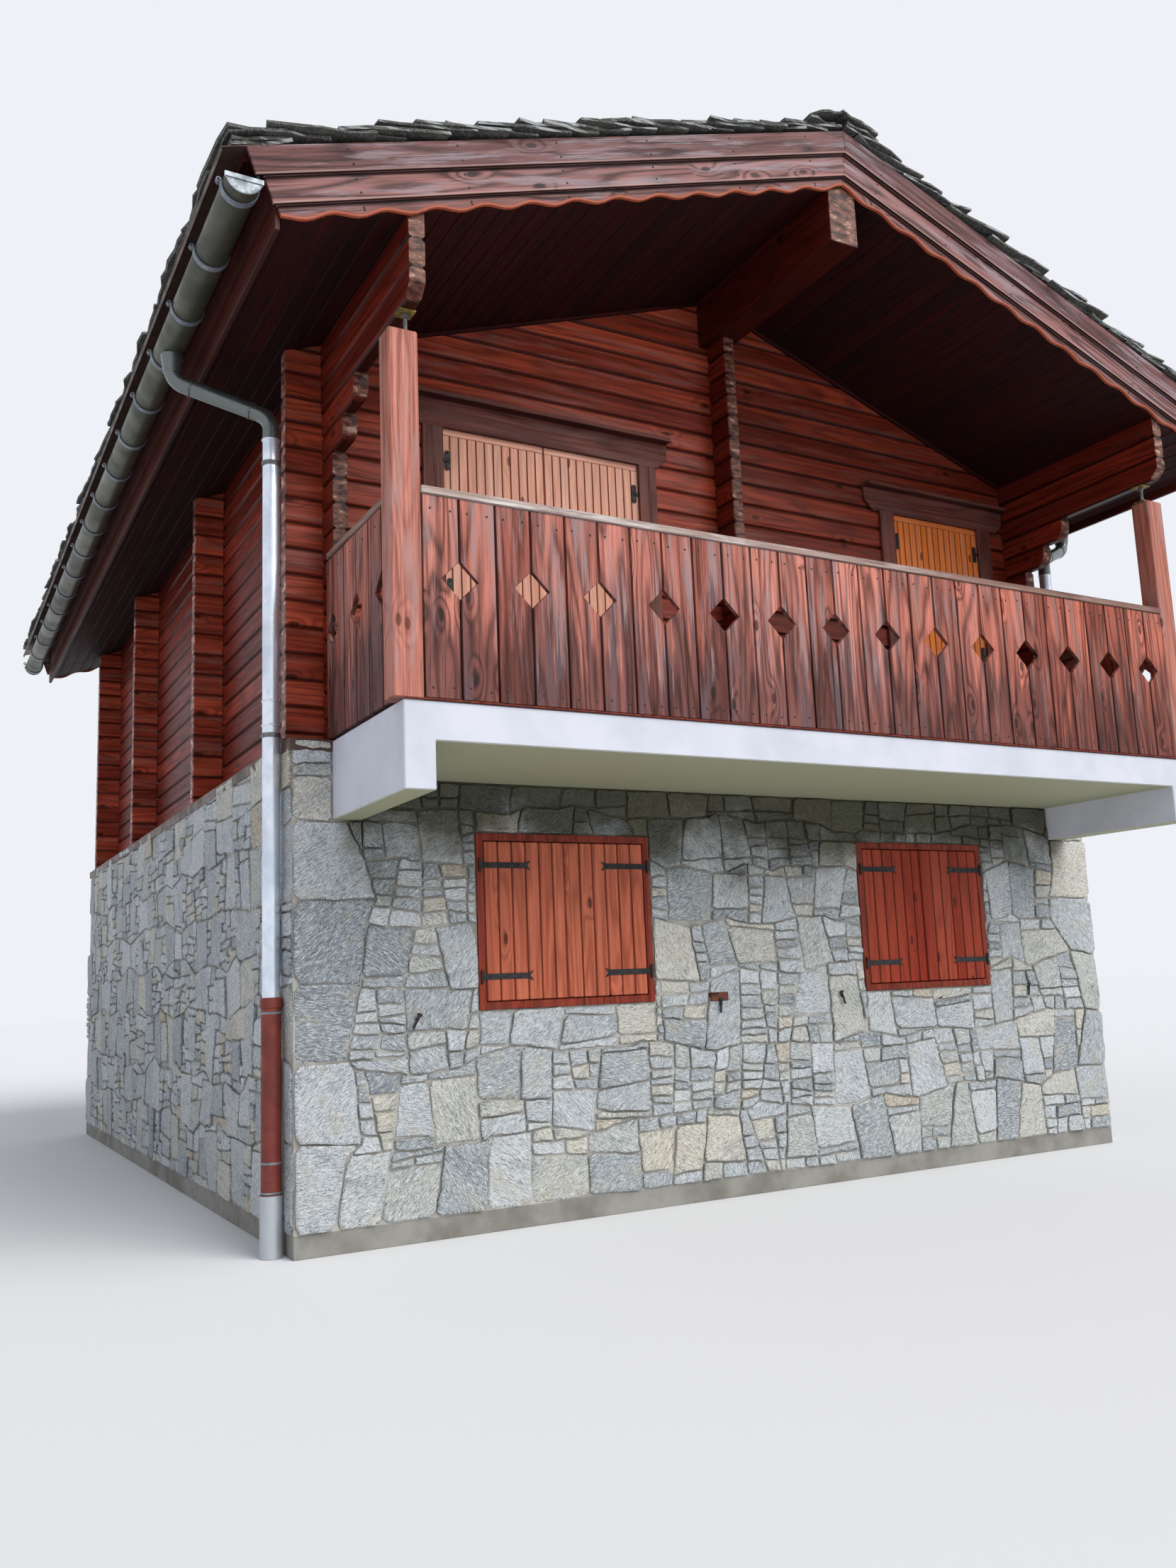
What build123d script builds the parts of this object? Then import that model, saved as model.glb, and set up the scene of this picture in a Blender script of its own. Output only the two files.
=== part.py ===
"""Alpine chalet: a rubble stone storey under a log storey, with a balcony and a stone slab roof.

Millimetres. +X is to the right of someone facing the balcony, +Y runs into the house and +Z is up.
The origin is on the ground, at the middle of the stone storey's footprint.
"""

import os
from math import atan, cos, degrees, sin, sqrt

from build123d import *

os.makedirs("parts", exist_ok=True)

# Stone storey
stone_width = 6330
stone_depth = 7800
stone_wall = 400
footing_height = 120
window_width = 1190
window_height = 1030
window_sill = 1230
left_window_x = -1485
right_window_x = 1417
frame_face = 45
frame_depth = 80
frame_proud = 15
shutter_thickness = 30
fit = 0.5

# Concrete floor and balcony
slab_top = 2760
slab_thickness = 200
slab_inset = 225
balcony_reach = 1130
beam_width = 165
beam_drop = 245
slab_bearing = 175

# Log storey
log_thickness = 90
course = 158
groove = 34
side_setback = 245
front_setback = 215
back_setback = 10
stub_inset = 25
bay_walls = (2735, 5410)
corbel_step = 195
corbel_round = 95
stub_front_inset = 5
purlin_course = 13
purlin_nose = 75

# Doors and windows of the log storey
double_door_to_wall = 1413
double_door_width = 1466
double_lintel_overhang = 95
single_door_to_wall = 750
single_door_width = 915
single_lintel_overhang = 150
door_height = 2120
casing_width = 140
casing_thickness = 25
casing_lip = 10
lintel_height = 170
lintel_bevel = 80
drip_thickness = 30
drip_reach = 90
back_window_sill = 900
back_window_height = 1220
back_window_x = 1450

# Roof
roof_pitch = 0.345
soffit_apex = 6270
roof_build_up = 350
deck_thickness = 45
eaves_overhang = 435
deck_lip = 151
front_overhang = 1325
back_overhang = 600
ridge_purlin_width = 218
ridge_purlin_bottom = 5880
fascia_thickness = 27
fascia_drop = 62
barge_thickness = 22
barge_widths = (145, 280, 358)
barge_end_steps = (0, 45, 68)
scallop_length = 290
scallop_half_width = 105
scallop_depth = 30
stone_cover = 100
stone_eaves_lap = 140
stone_gable_lap = 45
ridge_stone_width = 250
ridge_stone_thickness = 40

# Rainwater
gutter_radius = 85
gutter_sheet = 3
gutter_gap = 75
gutter_drop = 162.8
bracket_count = 17
bracket_width = 30
bracket_thickness = 6
bracket_end = 95
pipe_radius = 48
pipe_gap = 75
pipe_y = 160
outlet_y = 380
outlet_drop = 150
neck_fall = 460
neck_bend = 110
sleeve_radius = 54
sleeve_top = 1350
sleeve_bottom = 320
socket_radius = 60
clamp_heights = (4400, 2790)
clamp_height = 25
clamp_thickness = 5
clamp_arm = 12
clamp_foot = 50

# Balcony
post_width = 160
post_depth = 140
post_top = 4685
post_proud = 15
post_overhang = 55
rod_radius = 12
jack_plate = 90
jack_plate_thickness = 8
board_thickness = 27
board_gap_below = 10
parapet_height = 1055
handrail_width = 100
handrail_thickness = 45
handrail_proud = 9
batten_thickness = 45
batten_height = 70
batten_low = 30
batten_high = 945
diamond = 200
diamond_height = 625
diamond_pitch = 405
side_diamonds = 3
side_board_lap = 25

# Flashing and ironwork
flashing_sheet = 3
flashing_overhang = 20
flashing_drop = 60
strap_length = 330
strap_height = 34
strap_thickness = 4
strap_margin = 190
pintle_height = 110
pintle_width = 60
pintle_margin = 220

# How far a cut runs past the faces it opens, and a length past every face
past = 1
far = 12000

# Places that follow from the sizes above
half_stone = stone_width / 2
front = -stone_depth / 2
back = stone_depth / 2
half_slab = half_stone - slab_inset
slab_bottom = slab_top - slab_thickness
balcony_edge = front - balcony_reach
log_out = half_stone - side_setback
log_in = log_out - log_thickness
double_door_x = double_door_to_wall - log_in
single_door_x = log_in - single_door_to_wall
front_log = front + front_setback
front_log_in = front_log + log_thickness
back_log_out = back - back_setback
back_log = back_log_out - log_thickness
stub_out = half_stone - stub_inset
stub_front = front + stub_front_inset
purlin_bottom = slab_top + purlin_course * course
groove_side = groove / sqrt(2)
barge_front = front - front_overhang
barge_back = back + back_overhang
barge_total = barge_thickness * len(barge_widths)
panel_front = barge_front + barge_total
panel_back = barge_back - barge_total
door_top = slab_top + door_height
roof_apex = soffit_apex + roof_build_up
pitch_angle = atan(roof_pitch)
steep = 1 / cos(pitch_angle)
eaves_reach = half_stone + eaves_overhang
deck_reach = eaves_reach + deck_lip
gutter_x = eaves_reach + gutter_gap + gutter_radius
pipe_x = half_stone + pipe_gap
front_diamonds = int(2 * half_slab / diamond_pitch)
post_in = half_slab + post_overhang - post_width
post_face = balcony_edge - post_proud
post_rear = post_face + post_depth


def soffit(x):
    """Height of the underside of the roof at a distance x from the ridge line."""
    return soffit_apex - roof_pitch * abs(x)


def roof_top(x):
    """Height of the top of the roof boarding at a distance x from the ridge line."""
    return roof_apex - roof_pitch * abs(x)


# The gutters hang at one depth under the roof's line, and the swan necks below them
gutter_z = roof_top(gutter_x) - gutter_drop
neck_bottom = gutter_z - neck_fall


def block(x0, x1, y0, y1, z0, z1, mode=Mode.ADD):
    """A square-edged block between two corners."""
    with Locations(((x0 + x1) / 2, (y0 + y1) / 2, (z0 + z1) / 2)):
        Box(abs(x1 - x0), abs(y1 - y0), abs(z1 - z0), mode=mode)


def trim_to_soffit():
    """Takes away what stands above the underside of the roof."""
    with BuildSketch(Plane.XZ) as sky:
        with BuildLine():
            Polyline(
                (0, soffit_apex),
                (far, soffit(far)),
                (far, far),
                (-far, far),
                (-far, soffit(far)),
                close=True,
            )
        make_face()
    extrude(sky.sketch, amount=far, both=True, mode=Mode.SUBTRACT)


def joint_heights(first, top):
    """Heights of the joints between log courses."""
    count = int((top - first) / course) + 1
    return [first + n * course for n in range(count)]


def groove_across(x0, x1, face, heights):
    """V grooves along X where the bevelled logs meet, cut into a face that looks along Y."""
    with Locations(*[((x0 + x1) / 2, face, z) for z in heights]):
        Box(x1 - x0, groove_side, groove_side, rotation=(45, 0, 0), mode=Mode.SUBTRACT)


def groove_along(y0, y1, face, heights):
    """V grooves along Y where the bevelled logs meet, cut into a face that looks along X."""
    with Locations(*[(face, (y0 + y1) / 2, z) for z in heights]):
        Box(groove_side, y1 - y0, groove_side, rotation=(0, 45, 0), mode=Mode.SUBTRACT)


def save(piece, name):
    """Labels a finished piece and writes its file."""
    piece.label = name
    export_step(piece, f"parts/{name}.step")


# Ground floor slab, whose edge shows as the footing strip
with BuildPart() as ground_slab:
    block(-half_stone, half_stone, front, back, 0, footing_height)
save(ground_slab.part, "ground_slab")


# Stone walls, cut back where the concrete floor and its beams bear on them
def cut_floor_seat():
    """The pocket that the concrete floor and its two beams fill."""
    block(-half_slab, half_slab, front - stone_wall, back - stone_wall + slab_bearing,
          slab_bottom, slab_top + past, mode=Mode.SUBTRACT)
    for side in (-1, 1):
        block(side * (half_slab - beam_width), side * half_slab, front - stone_wall, front + stone_wall,
              slab_bottom - beam_drop, slab_top, mode=Mode.SUBTRACT)


with BuildPart() as front_stone_wall:
    block(-half_stone, half_stone, front, front + stone_wall, footing_height, slab_top)
    cut_floor_seat()
    for centre in (left_window_x, right_window_x):
        block(centre - window_width / 2, centre + window_width / 2,
              front - stone_wall, front + 2 * stone_wall,
              window_sill, window_sill + window_height, mode=Mode.SUBTRACT)
save(front_stone_wall.part, "front_stone_wall")

with BuildPart() as back_stone_wall:
    block(-half_stone, half_stone, back - stone_wall, back, footing_height, slab_top)
    cut_floor_seat()
save(back_stone_wall.part, "back_stone_wall")

for side, name in ((-1, "left_stone_wall"), (1, "right_stone_wall")):
    with BuildPart() as side_stone_wall:
        block(side * (half_stone - stone_wall), side * half_stone, front + stone_wall, back - stone_wall,
              footing_height, slab_top)
        cut_floor_seat()
    save(side_stone_wall.part, name)

# Concrete floor that runs out as the balcony, with a cantilever beam under each end
with BuildPart() as floor_slab:
    block(-half_slab, half_slab, balcony_edge, back - stone_wall + slab_bearing, slab_bottom, slab_top)
    for side in (-1, 1):
        block(side * (half_slab - beam_width), side * half_slab, balcony_edge, front + stone_wall,
              slab_bottom - beam_drop, slab_bottom)
save(floor_slab.part, "floor_slab")

# Bent sheet that caps the masonry outside the logs on both sides and at the back
flash_out = half_stone + flashing_overhang
flash_front = front - flashing_overhang
flash_back = back + flashing_overhang
flash_top = slab_top + flashing_sheet
with BuildPart() as masonry_flashing:
    for side in (-1, 1):
        block(side * log_out, side * flash_out, flash_front, flash_back, slab_top, flash_top)
        block(side * (flash_out - flashing_sheet), side * flash_out, flash_front, flash_back,
              slab_top - flashing_drop, slab_top)
        block(side * half_slab, side * flash_out, flash_front, flash_front + flashing_sheet,
              slab_top - flashing_drop, slab_top)
    block(-log_out, log_out, back_log_out, flash_back, slab_top, flash_top)
    block(-flash_out, flash_out, flash_back - flashing_sheet, flash_back,
          slab_top - flashing_drop, slab_top)
    for side in (-1, 1):
        block(side * (log_out - past), side * half_slab, flash_front - past, front_log,
              slab_top - flashing_drop, flash_top + past, mode=Mode.SUBTRACT)
        for start in (front_log, *[front + y for y in bay_walls], back_log):
            block(side * (log_out - past), side * stub_out, start, start + log_thickness,
                  slab_top, flash_top + past, mode=Mode.SUBTRACT)
save(masonry_flashing.part, "masonry_flashing")


# Gable log walls, whose first course is half a log high, with the ends run past the side walls
gable_joints = joint_heights(slab_top + course / 2, soffit_apex)
side_joints = joint_heights(slab_top + course, soffit(log_in))


def gable_wall(near):
    """One gable wall from its face nearest the balcony, notched for the purlins."""
    block(-stub_out, stub_out, near, near + log_thickness, slab_top, soffit_apex)
    trim_to_soffit()
    for face in (near, near + log_thickness):
        groove_across(-far, far, face, gable_joints)
    for side in (-1, 1):
        block(side * log_in, side * log_out, near - past, near + log_thickness + past,
              purlin_bottom, soffit_apex, mode=Mode.SUBTRACT)
    block(-ridge_purlin_width / 2, ridge_purlin_width / 2, near - past, near + log_thickness + past,
          ridge_purlin_bottom, soffit_apex, mode=Mode.SUBTRACT)


with BuildPart() as front_log_wall:
    gable_wall(front_log)
    for centre, width in ((double_door_x, double_door_width), (single_door_x, single_door_width)):
        block(centre - width / 2, centre + width / 2, front_log - past, front_log_in + past,
              slab_top, door_top, mode=Mode.SUBTRACT)
save(front_log_wall.part, "front_log_wall")

back_sill = slab_top + back_window_sill
with BuildPart() as back_log_wall:
    gable_wall(back_log)
    for side in (-1, 1):
        centre = side * back_window_x
        block(centre - window_width / 2, centre + window_width / 2, back_log - past, back_log_out + past,
              back_sill, back_sill + back_window_height, mode=Mode.SUBTRACT)
save(back_log_wall.part, "back_log_wall")


# Side log walls: the top courses run out over both gables as the eaves purlins, on stepped corbels
def side_wall(side):
    """One side wall with its purlin, corbels and corner stub."""
    plane = Plane.YZ.offset(min(side * log_in, side * log_out))
    corbel_tops = (purlin_bottom, purlin_bottom - course)
    with BuildSketch(plane) as wall:
        with Locations(((front_log_in + back_log) / 2, (slab_top + purlin_bottom) / 2)):
            Rectangle(back_log - front_log_in, purlin_bottom - slab_top)
        with BuildLine():
            Polyline(
                (panel_front + purlin_nose, purlin_bottom),
                (panel_front, purlin_bottom + purlin_nose),
                (panel_front, soffit_apex),
                (panel_back, soffit_apex),
                (panel_back, purlin_bottom + purlin_nose),
                (panel_back - purlin_nose, purlin_bottom),
                close=True,
            )
        make_face()
    extrude(wall.sketch, amount=log_thickness)
    for level, top in enumerate(corbel_tops):
        reach = corbel_step * (len(corbel_tops) - level)
        for start, end in ((front_log, stub_front - reach), (back_log_out, back_log_out + reach)):
            with BuildSketch(plane) as corbel:
                with Locations(((start + end) / 2, top - course / 2)):
                    Rectangle(abs(end - start), course)
                low = corbel.vertices().group_by(Axis.Y)[0]
                fillet(low.sort_by(Axis.X)[0 if end < start else -1], radius=corbel_round)
            extrude(corbel.sketch, amount=log_thickness)
    block(side * log_in, side * log_out, stub_front, front_log,
          slab_top, purlin_bottom - len(corbel_tops) * course)
    trim_to_soffit()
    groove_along(panel_front - past, panel_back + past, side * log_out, side_joints)
    groove_along(panel_front - past, front_log, side * log_in, side_joints)
    groove_along(back_log_out, panel_back + past, side * log_in, side_joints)


for side, name in ((-1, "left_log_wall"), (1, "right_log_wall")):
    with BuildPart() as side_log_wall:
        side_wall(side)
    save(side_log_wall.part, name)

# Ends of the cross walls, which show as stubs on the side walls
for side, name in ((-1, "left_wall_stubs"), (1, "right_wall_stubs")):
    with BuildPart() as wall_stubs:
        for start in [front + y for y in bay_walls]:
            block(side * log_out, side * stub_out, start, start + log_thickness, slab_top, soffit_apex)
        trim_to_soffit()
        for start in [front + y for y in bay_walls]:
            for face in (start, start + log_thickness):
                groove_across(-far, far, face, gable_joints)
    save(wall_stubs.part, name)

# Stub of the middle wall under the ridge purlin
with BuildPart() as centre_wall_stub:
    block(-log_thickness / 2, log_thickness / 2, stub_front, front_log, slab_top, ridge_purlin_bottom)
    for side in (-1, 1):
        groove_along(stub_front - past, front_log, side * log_thickness / 2,
                     joint_heights(slab_top + course, ridge_purlin_bottom - groove))
save(centre_wall_stub.part, "centre_wall_stub")

# Ridge purlin, with its nose cut back
with BuildPart() as ridge_purlin:
    with BuildSketch(Plane.YZ.offset(-ridge_purlin_width / 2)):
        with BuildLine():
            Polyline(
                (panel_front + purlin_nose, ridge_purlin_bottom),
                (panel_front, ridge_purlin_bottom + purlin_nose),
                (panel_front, soffit_apex),
                (panel_back, soffit_apex),
                (panel_back, ridge_purlin_bottom + purlin_nose),
                (panel_back - purlin_nose, ridge_purlin_bottom),
                close=True,
            )
        make_face()
    extrude(amount=ridge_purlin_width)
    trim_to_soffit()
save(ridge_purlin.part, "ridge_purlin")

# Roof panels: boarded soffit, rafters and deck as one build-up, with the deck run out past the fascia
fascia_in = eaves_reach - fascia_thickness
for side, name in ((-1, "left_roof_panel"), (1, "right_roof_panel")):
    with BuildPart() as roof_panel:
        with BuildSketch(Plane.XZ.offset(-panel_front)):
            with BuildLine():
                Polyline(
                    (0, soffit_apex),
                    (side * fascia_in, soffit(fascia_in)),
                    (side * fascia_in, roof_top(fascia_in) - deck_thickness),
                    (side * deck_reach, roof_top(deck_reach) - deck_thickness),
                    (side * deck_reach, roof_top(deck_reach)),
                    (0, roof_apex),
                    close=True,
                )
            make_face()
        extrude(amount=panel_front - panel_back)
    save(roof_panel.part, name)

# Fascia boards behind the gutters
with BuildPart() as eaves_fascias:
    for side in (-1, 1):
        with BuildSketch(Plane.XZ.offset(-panel_front)):
            with BuildLine():
                Polyline(
                    (side * fascia_in, soffit(fascia_in) - fascia_drop),
                    (side * eaves_reach, soffit(fascia_in) - fascia_drop),
                    (side * eaves_reach, roof_top(eaves_reach) - deck_thickness),
                    (side * fascia_in, roof_top(fascia_in) - deck_thickness),
                    close=True,
                )
            make_face()
        extrude(amount=panel_front - panel_back)
save(eaves_fascias.part, "eaves_fascias")


# Barge boards: three lapped boards on each slope, the lowest with a scalloped edge
def barge_layer(near, width, end_step, scalloped):
    """One board on both slopes, as deep as it shows, measured down from the roof's top."""
    run = deck_reach - end_step
    slope_length = run * steep
    for side in (-1, 1):
        foot = Vector(side * (run - width * sin(pitch_angle)), 0, roof_top(run) - width * cos(pitch_angle))
        with BuildSketch(Plane.XZ.offset(-near)) as board:
            with BuildLine():
                Polyline(
                    (0, roof_apex - width * steep),
                    (0, roof_apex),
                    (side * run, roof_top(run)),
                    (foot.X, foot.Z),
                    close=True,
                )
            make_face()
            if scalloped:
                waves = int(slope_length / scallop_length)
                for wave in range(waves):
                    middle = foot.X - side * (wave + 0.5) * scallop_length * cos(pitch_angle)
                    height = foot.Z + (wave + 0.5) * scallop_length * sin(pitch_angle)
                    with Locations((middle, height)):
                        Ellipse(scallop_half_width, scallop_depth, rotation=side * -degrees(pitch_angle))
        extrude(board.sketch, amount=-barge_thickness)


for name, outer, inward in (("front_barge_boards", barge_front, 1), ("back_barge_boards", barge_back, -1)):
    with BuildPart() as barge_boards:
        for layer, (width, end_step) in enumerate(zip(barge_widths, barge_end_steps)):
            start = outer + inward * layer * barge_thickness
            near = start if inward > 0 else start - barge_thickness
            barge_layer(near, width, end_step, layer == len(barge_widths) - 1)
    save(barge_boards.part, name)

# Covering of split stone slabs
cover_height = stone_cover * steep
cover_edge = deck_reach + stone_eaves_lap
for side, name in ((-1, "left_roof_stones"), (1, "right_roof_stones")):
    with BuildPart() as roof_stones:
        with BuildSketch(Plane.XZ.offset(-(barge_front - stone_gable_lap))):
            with BuildLine():
                Polyline(
                    (0, roof_apex),
                    (side * cover_edge, roof_top(cover_edge)),
                    (side * cover_edge, roof_top(cover_edge) + cover_height),
                    (0, roof_apex + cover_height),
                    close=True,
                )
            make_face()
        extrude(amount=barge_front - barge_back - 2 * stone_gable_lap)
    save(roof_stones.part, name)

with BuildPart() as ridge_stones:
    ridge_rise = ridge_stone_thickness * steep
    with BuildSketch(Plane.XZ.offset(-(barge_front - stone_gable_lap))):
        with BuildLine():
            Polyline(
                (0, roof_apex + cover_height),
                (ridge_stone_width, roof_top(ridge_stone_width) + cover_height),
                (ridge_stone_width, roof_top(ridge_stone_width) + cover_height + ridge_rise),
                (0, roof_apex + cover_height + ridge_rise),
                (-ridge_stone_width, roof_top(ridge_stone_width) + cover_height + ridge_rise),
                (-ridge_stone_width, roof_top(ridge_stone_width) + cover_height),
                close=True,
            )
        make_face()
    extrude(amount=barge_front - barge_back - 2 * stone_gable_lap)
save(ridge_stones.part, "ridge_stones")


# Half-round gutters with flat ends
def half_ring(side, outer, inner, near, length):
    """The lower half of a ring about the gutter's axis, from near along +Y."""
    with BuildSketch(Plane.XZ.offset(-near)) as ring:
        with Locations((side * gutter_x, gutter_z)):
            Circle(outer)
            if inner:
                Circle(inner, mode=Mode.SUBTRACT)
        with Locations((side * gutter_x, gutter_z + outer)):
            Rectangle(4 * outer, 2 * outer, mode=Mode.SUBTRACT)
    extrude(ring.sketch, amount=-length)


gutter_length = barge_back - barge_front
for side, name in ((-1, "left_gutter"), (1, "right_gutter")):
    with BuildPart() as gutter:
        half_ring(side, gutter_radius, gutter_radius - gutter_sheet, barge_front, gutter_length)
        for near in (barge_front, barge_back - gutter_sheet):
            half_ring(side, gutter_radius, 0, near, gutter_sheet)
    save(gutter.part, name)

# Wrapped brackets that hang the gutters from the roof deck
bracket_in = gutter_radius + fit
bracket_out = bracket_in + bracket_thickness
bracket_pitch = (gutter_length - 2 * bracket_end) / (bracket_count - 1)
hanger_out = gutter_x - bracket_in
hanger_in = hanger_out - bracket_thickness
with BuildPart() as gutter_brackets:
    for side in (-1, 1):
        for number in range(bracket_count):
            near = barge_front + bracket_end + number * bracket_pitch - bracket_width / 2
            half_ring(side, bracket_out, bracket_in, near, bracket_width)
            with BuildSketch(Plane.XZ.offset(-near)):
                with BuildLine():
                    Polyline(
                        (side * hanger_out, gutter_z),
                        (side * hanger_out, roof_top(hanger_out) - deck_thickness),
                        (side * hanger_in, roof_top(hanger_in) - deck_thickness),
                        (side * hanger_in, gutter_z),
                        close=True,
                    )
                make_face()
            extrude(amount=-bracket_width)
save(gutter_brackets.part, "gutter_brackets")

# Downpipes with a swan neck from the gutter to the wall
for side, name in ((-1, "left_downpipe"), (1, "right_downpipe")):
    outlet = (side * gutter_x, front + outlet_y, gutter_z - gutter_radius - fit)
    first_bend = (side * gutter_x, front + outlet_y, gutter_z - gutter_radius - outlet_drop)
    second_bend = (side * pipe_x, front + pipe_y, neck_bottom)
    foot = (side * pipe_x, front + pipe_y, sleeve_bottom)
    with BuildPart() as downpipe:
        with BuildLine() as route:
            FilletPolyline(outlet, first_bend, second_bend, foot, radius=neck_bend)
        with BuildSketch(Plane(route.line @ 0, z_dir=route.line % 0)):
            Circle(pipe_radius)
        sweep()
    save(downpipe.part, name)

# Cast sleeves round the foot of each pipe, with a socket into the ground
with BuildPart() as pipe_sleeves:
    for side in (-1, 1):
        with BuildSketch(Plane.XY.offset(sleeve_bottom)):
            with Locations((side * pipe_x, front + pipe_y)):
                Circle(sleeve_radius)
                Circle(pipe_radius + fit, mode=Mode.SUBTRACT)
        extrude(amount=sleeve_top - sleeve_bottom)
        with BuildSketch():
            with Locations((side * pipe_x, front + pipe_y)):
                Circle(socket_radius)
        extrude(amount=sleeve_bottom)
save(pipe_sleeves.part, "pipe_sleeves")

# Clamps that hold the pipes, each on a bent arm to the end of the front log wall
clamp_corner = front_log + clamp_foot
with BuildPart() as pipe_clamps:
    for side in (-1, 1):
        for height in clamp_heights:
            with BuildSketch(Plane.XY.offset(height)):
                with Locations((side * pipe_x, front + pipe_y)):
                    Circle(pipe_radius + fit + clamp_thickness)
                with BuildLine():
                    Polyline(
                        (side * (pipe_x - clamp_arm / 2), front + pipe_y),
                        (side * (pipe_x + clamp_arm / 2), front + pipe_y),
                        (side * (pipe_x + clamp_arm / 2), clamp_corner + clamp_arm),
                        (side * stub_out, clamp_corner + clamp_arm),
                        (side * stub_out, clamp_corner),
                        (side * (pipe_x - clamp_arm / 2), clamp_corner),
                        close=True,
                    )
                make_face()
                with Locations((side * pipe_x, front + pipe_y)):
                    Circle(pipe_radius + fit, mode=Mode.SUBTRACT)
            extrude(amount=clamp_height)
save(pipe_clamps.part, "pipe_clamps")

# Balcony posts at the slab's corners, with a threaded jack up to each eaves purlin
for side, name in ((-1, "left_balcony_post"), (1, "right_balcony_post")):
    with BuildPart() as balcony_post:
        block(side * post_in, side * (post_in + post_width), post_face, post_rear, slab_top, post_top)
    save(balcony_post.part, name)

jack_x = (log_in + log_out) / 2
jack_y = (post_face + post_rear) / 2
with BuildPart() as post_jacks:
    for side in (-1, 1):
        for low in (post_top, purlin_bottom - jack_plate_thickness):
            with Locations((side * jack_x, jack_y, low + jack_plate_thickness / 2)):
                Box(jack_plate, jack_plate, jack_plate_thickness)
        with Locations((side * jack_x, jack_y, (post_top + purlin_bottom) / 2)):
            Cylinder(rod_radius, purlin_bottom - post_top)
save(post_jacks.part, "post_jacks")

# Balcony parapet: boards with diamonds cut at every second joint
board_low = slab_top + board_gap_below
board_high = slab_top + parapet_height
diamond_z = slab_top + diamond_height
side_board_out = half_slab + post_proud
side_board_in = side_board_out - board_thickness
side_board_end = stub_front + side_board_lap
with BuildPart() as front_parapet:
    block(-post_in, post_in, post_face, post_face + board_thickness, board_low, board_high)
    with BuildSketch(Plane.XZ.offset(-post_face)):
        with Locations((0, diamond_z)):
            with GridLocations(diamond_pitch, diamond_pitch, front_diamonds, 1):
                RegularPolygon(diamond / 2, 4)
    extrude(amount=board_thickness, both=True, mode=Mode.SUBTRACT)
save(front_parapet.part, "front_parapet")

for side, name in ((-1, "left_parapet"), (1, "right_parapet")):
    with BuildPart() as side_parapet:
        block(side * side_board_in, side * side_board_out, post_rear, side_board_end,
              board_low, board_high)
        with BuildSketch(Plane.YZ.offset(side * side_board_out)):
            with Locations(((post_rear + side_board_end) / 2, diamond_z)):
                with GridLocations(diamond_pitch, diamond_pitch, side_diamonds, 1):
                    RegularPolygon(diamond / 2, 4)
        extrude(amount=board_thickness, both=True, mode=Mode.SUBTRACT)
    save(side_parapet.part, name)

# Battens behind the boards, from post to post and from post to corner stub
front_batten = post_face + board_thickness
with BuildPart() as parapet_battens:
    for low in (batten_low, batten_high):
        block(-post_in, post_in, front_batten, front_batten + batten_thickness,
              slab_top + low, slab_top + low + batten_height)
        for side in (-1, 1):
            block(side * side_board_in, side * (side_board_in - batten_thickness), post_rear, stub_front,
                  slab_top + low, slab_top + low + batten_height)
save(parapet_battens.part, "parapet_battens")

# Handrails on top of the boards
rail_top = board_high + handrail_thickness
rail_face = post_face - handrail_proud
rail_out = side_board_out + handrail_proud
with BuildPart() as handrails:
    block(-post_in, post_in, rail_face, rail_face + handrail_width, board_high, rail_top)
    for side in (-1, 1):
        block(side * rail_out, side * (rail_out - handrail_width), post_rear, stub_front,
              board_high, rail_top)
save(handrails.part, "handrails")

# Casings, lintels and shutters of the two balcony doors
doors = (
    (double_door_x, double_door_width, 2, double_lintel_overhang),
    (single_door_x, single_door_width, 1, single_lintel_overhang),
)
with BuildPart() as door_casings:
    for centre, width, leaves, overhang in doors:
        inner = width / 2 - casing_lip
        for side in (-1, 1):
            block(centre + side * inner, centre + side * (inner + casing_width),
                  front_log - casing_thickness, front_log, slab_top, door_top)
        head = inner + casing_width + overhang
        with BuildSketch(Plane.XZ.offset(casing_thickness - front_log)):
            with BuildLine():
                Polyline(
                    (centre - head + lintel_bevel, door_top - casing_lip),
                    (centre + head - lintel_bevel, door_top - casing_lip),
                    (centre + head, door_top - casing_lip + lintel_bevel),
                    (centre + head, door_top + lintel_height),
                    (centre - head, door_top + lintel_height),
                    (centre - head, door_top - casing_lip + lintel_bevel),
                    close=True,
                )
            make_face()
        extrude(amount=-casing_thickness)
        block(centre - head, centre + head, front_log - drip_reach, front_log,
              door_top + lintel_height, door_top + lintel_height + drip_thickness)
save(door_casings.part, "door_casings")

with BuildPart() as door_shutters:
    for centre, width, leaves, overhang in doors:
        leaf = width / leaves
        for number in range(leaves):
            low_x = centre - width / 2 + number * leaf
            block(low_x + fit, low_x + leaf - fit, front_log, front_log + shutter_thickness,
                  slab_top + fit, door_top - fit)
save(door_shutters.part, "door_shutters")

# Frames and two-leaf shutters of the windows
windows = []
for centre in (left_window_x, right_window_x):
    windows.append((centre, front - frame_proud, 1, window_sill, window_height))
for centre in (-back_window_x, back_window_x):
    windows.append((centre, back_log_out + frame_proud, -1, back_sill, back_window_height))


def window_frame(centre, face, inward, sill, height):
    """A wooden frame that fills the opening's edge."""
    far_face = face + inward * frame_depth
    block(centre - window_width / 2, centre + window_width / 2, face, far_face, sill, sill + height)
    block(centre - window_width / 2 + frame_face, centre + window_width / 2 - frame_face,
          face - inward, far_face + inward,
          sill + frame_face, sill + height - frame_face, mode=Mode.SUBTRACT)


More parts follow.
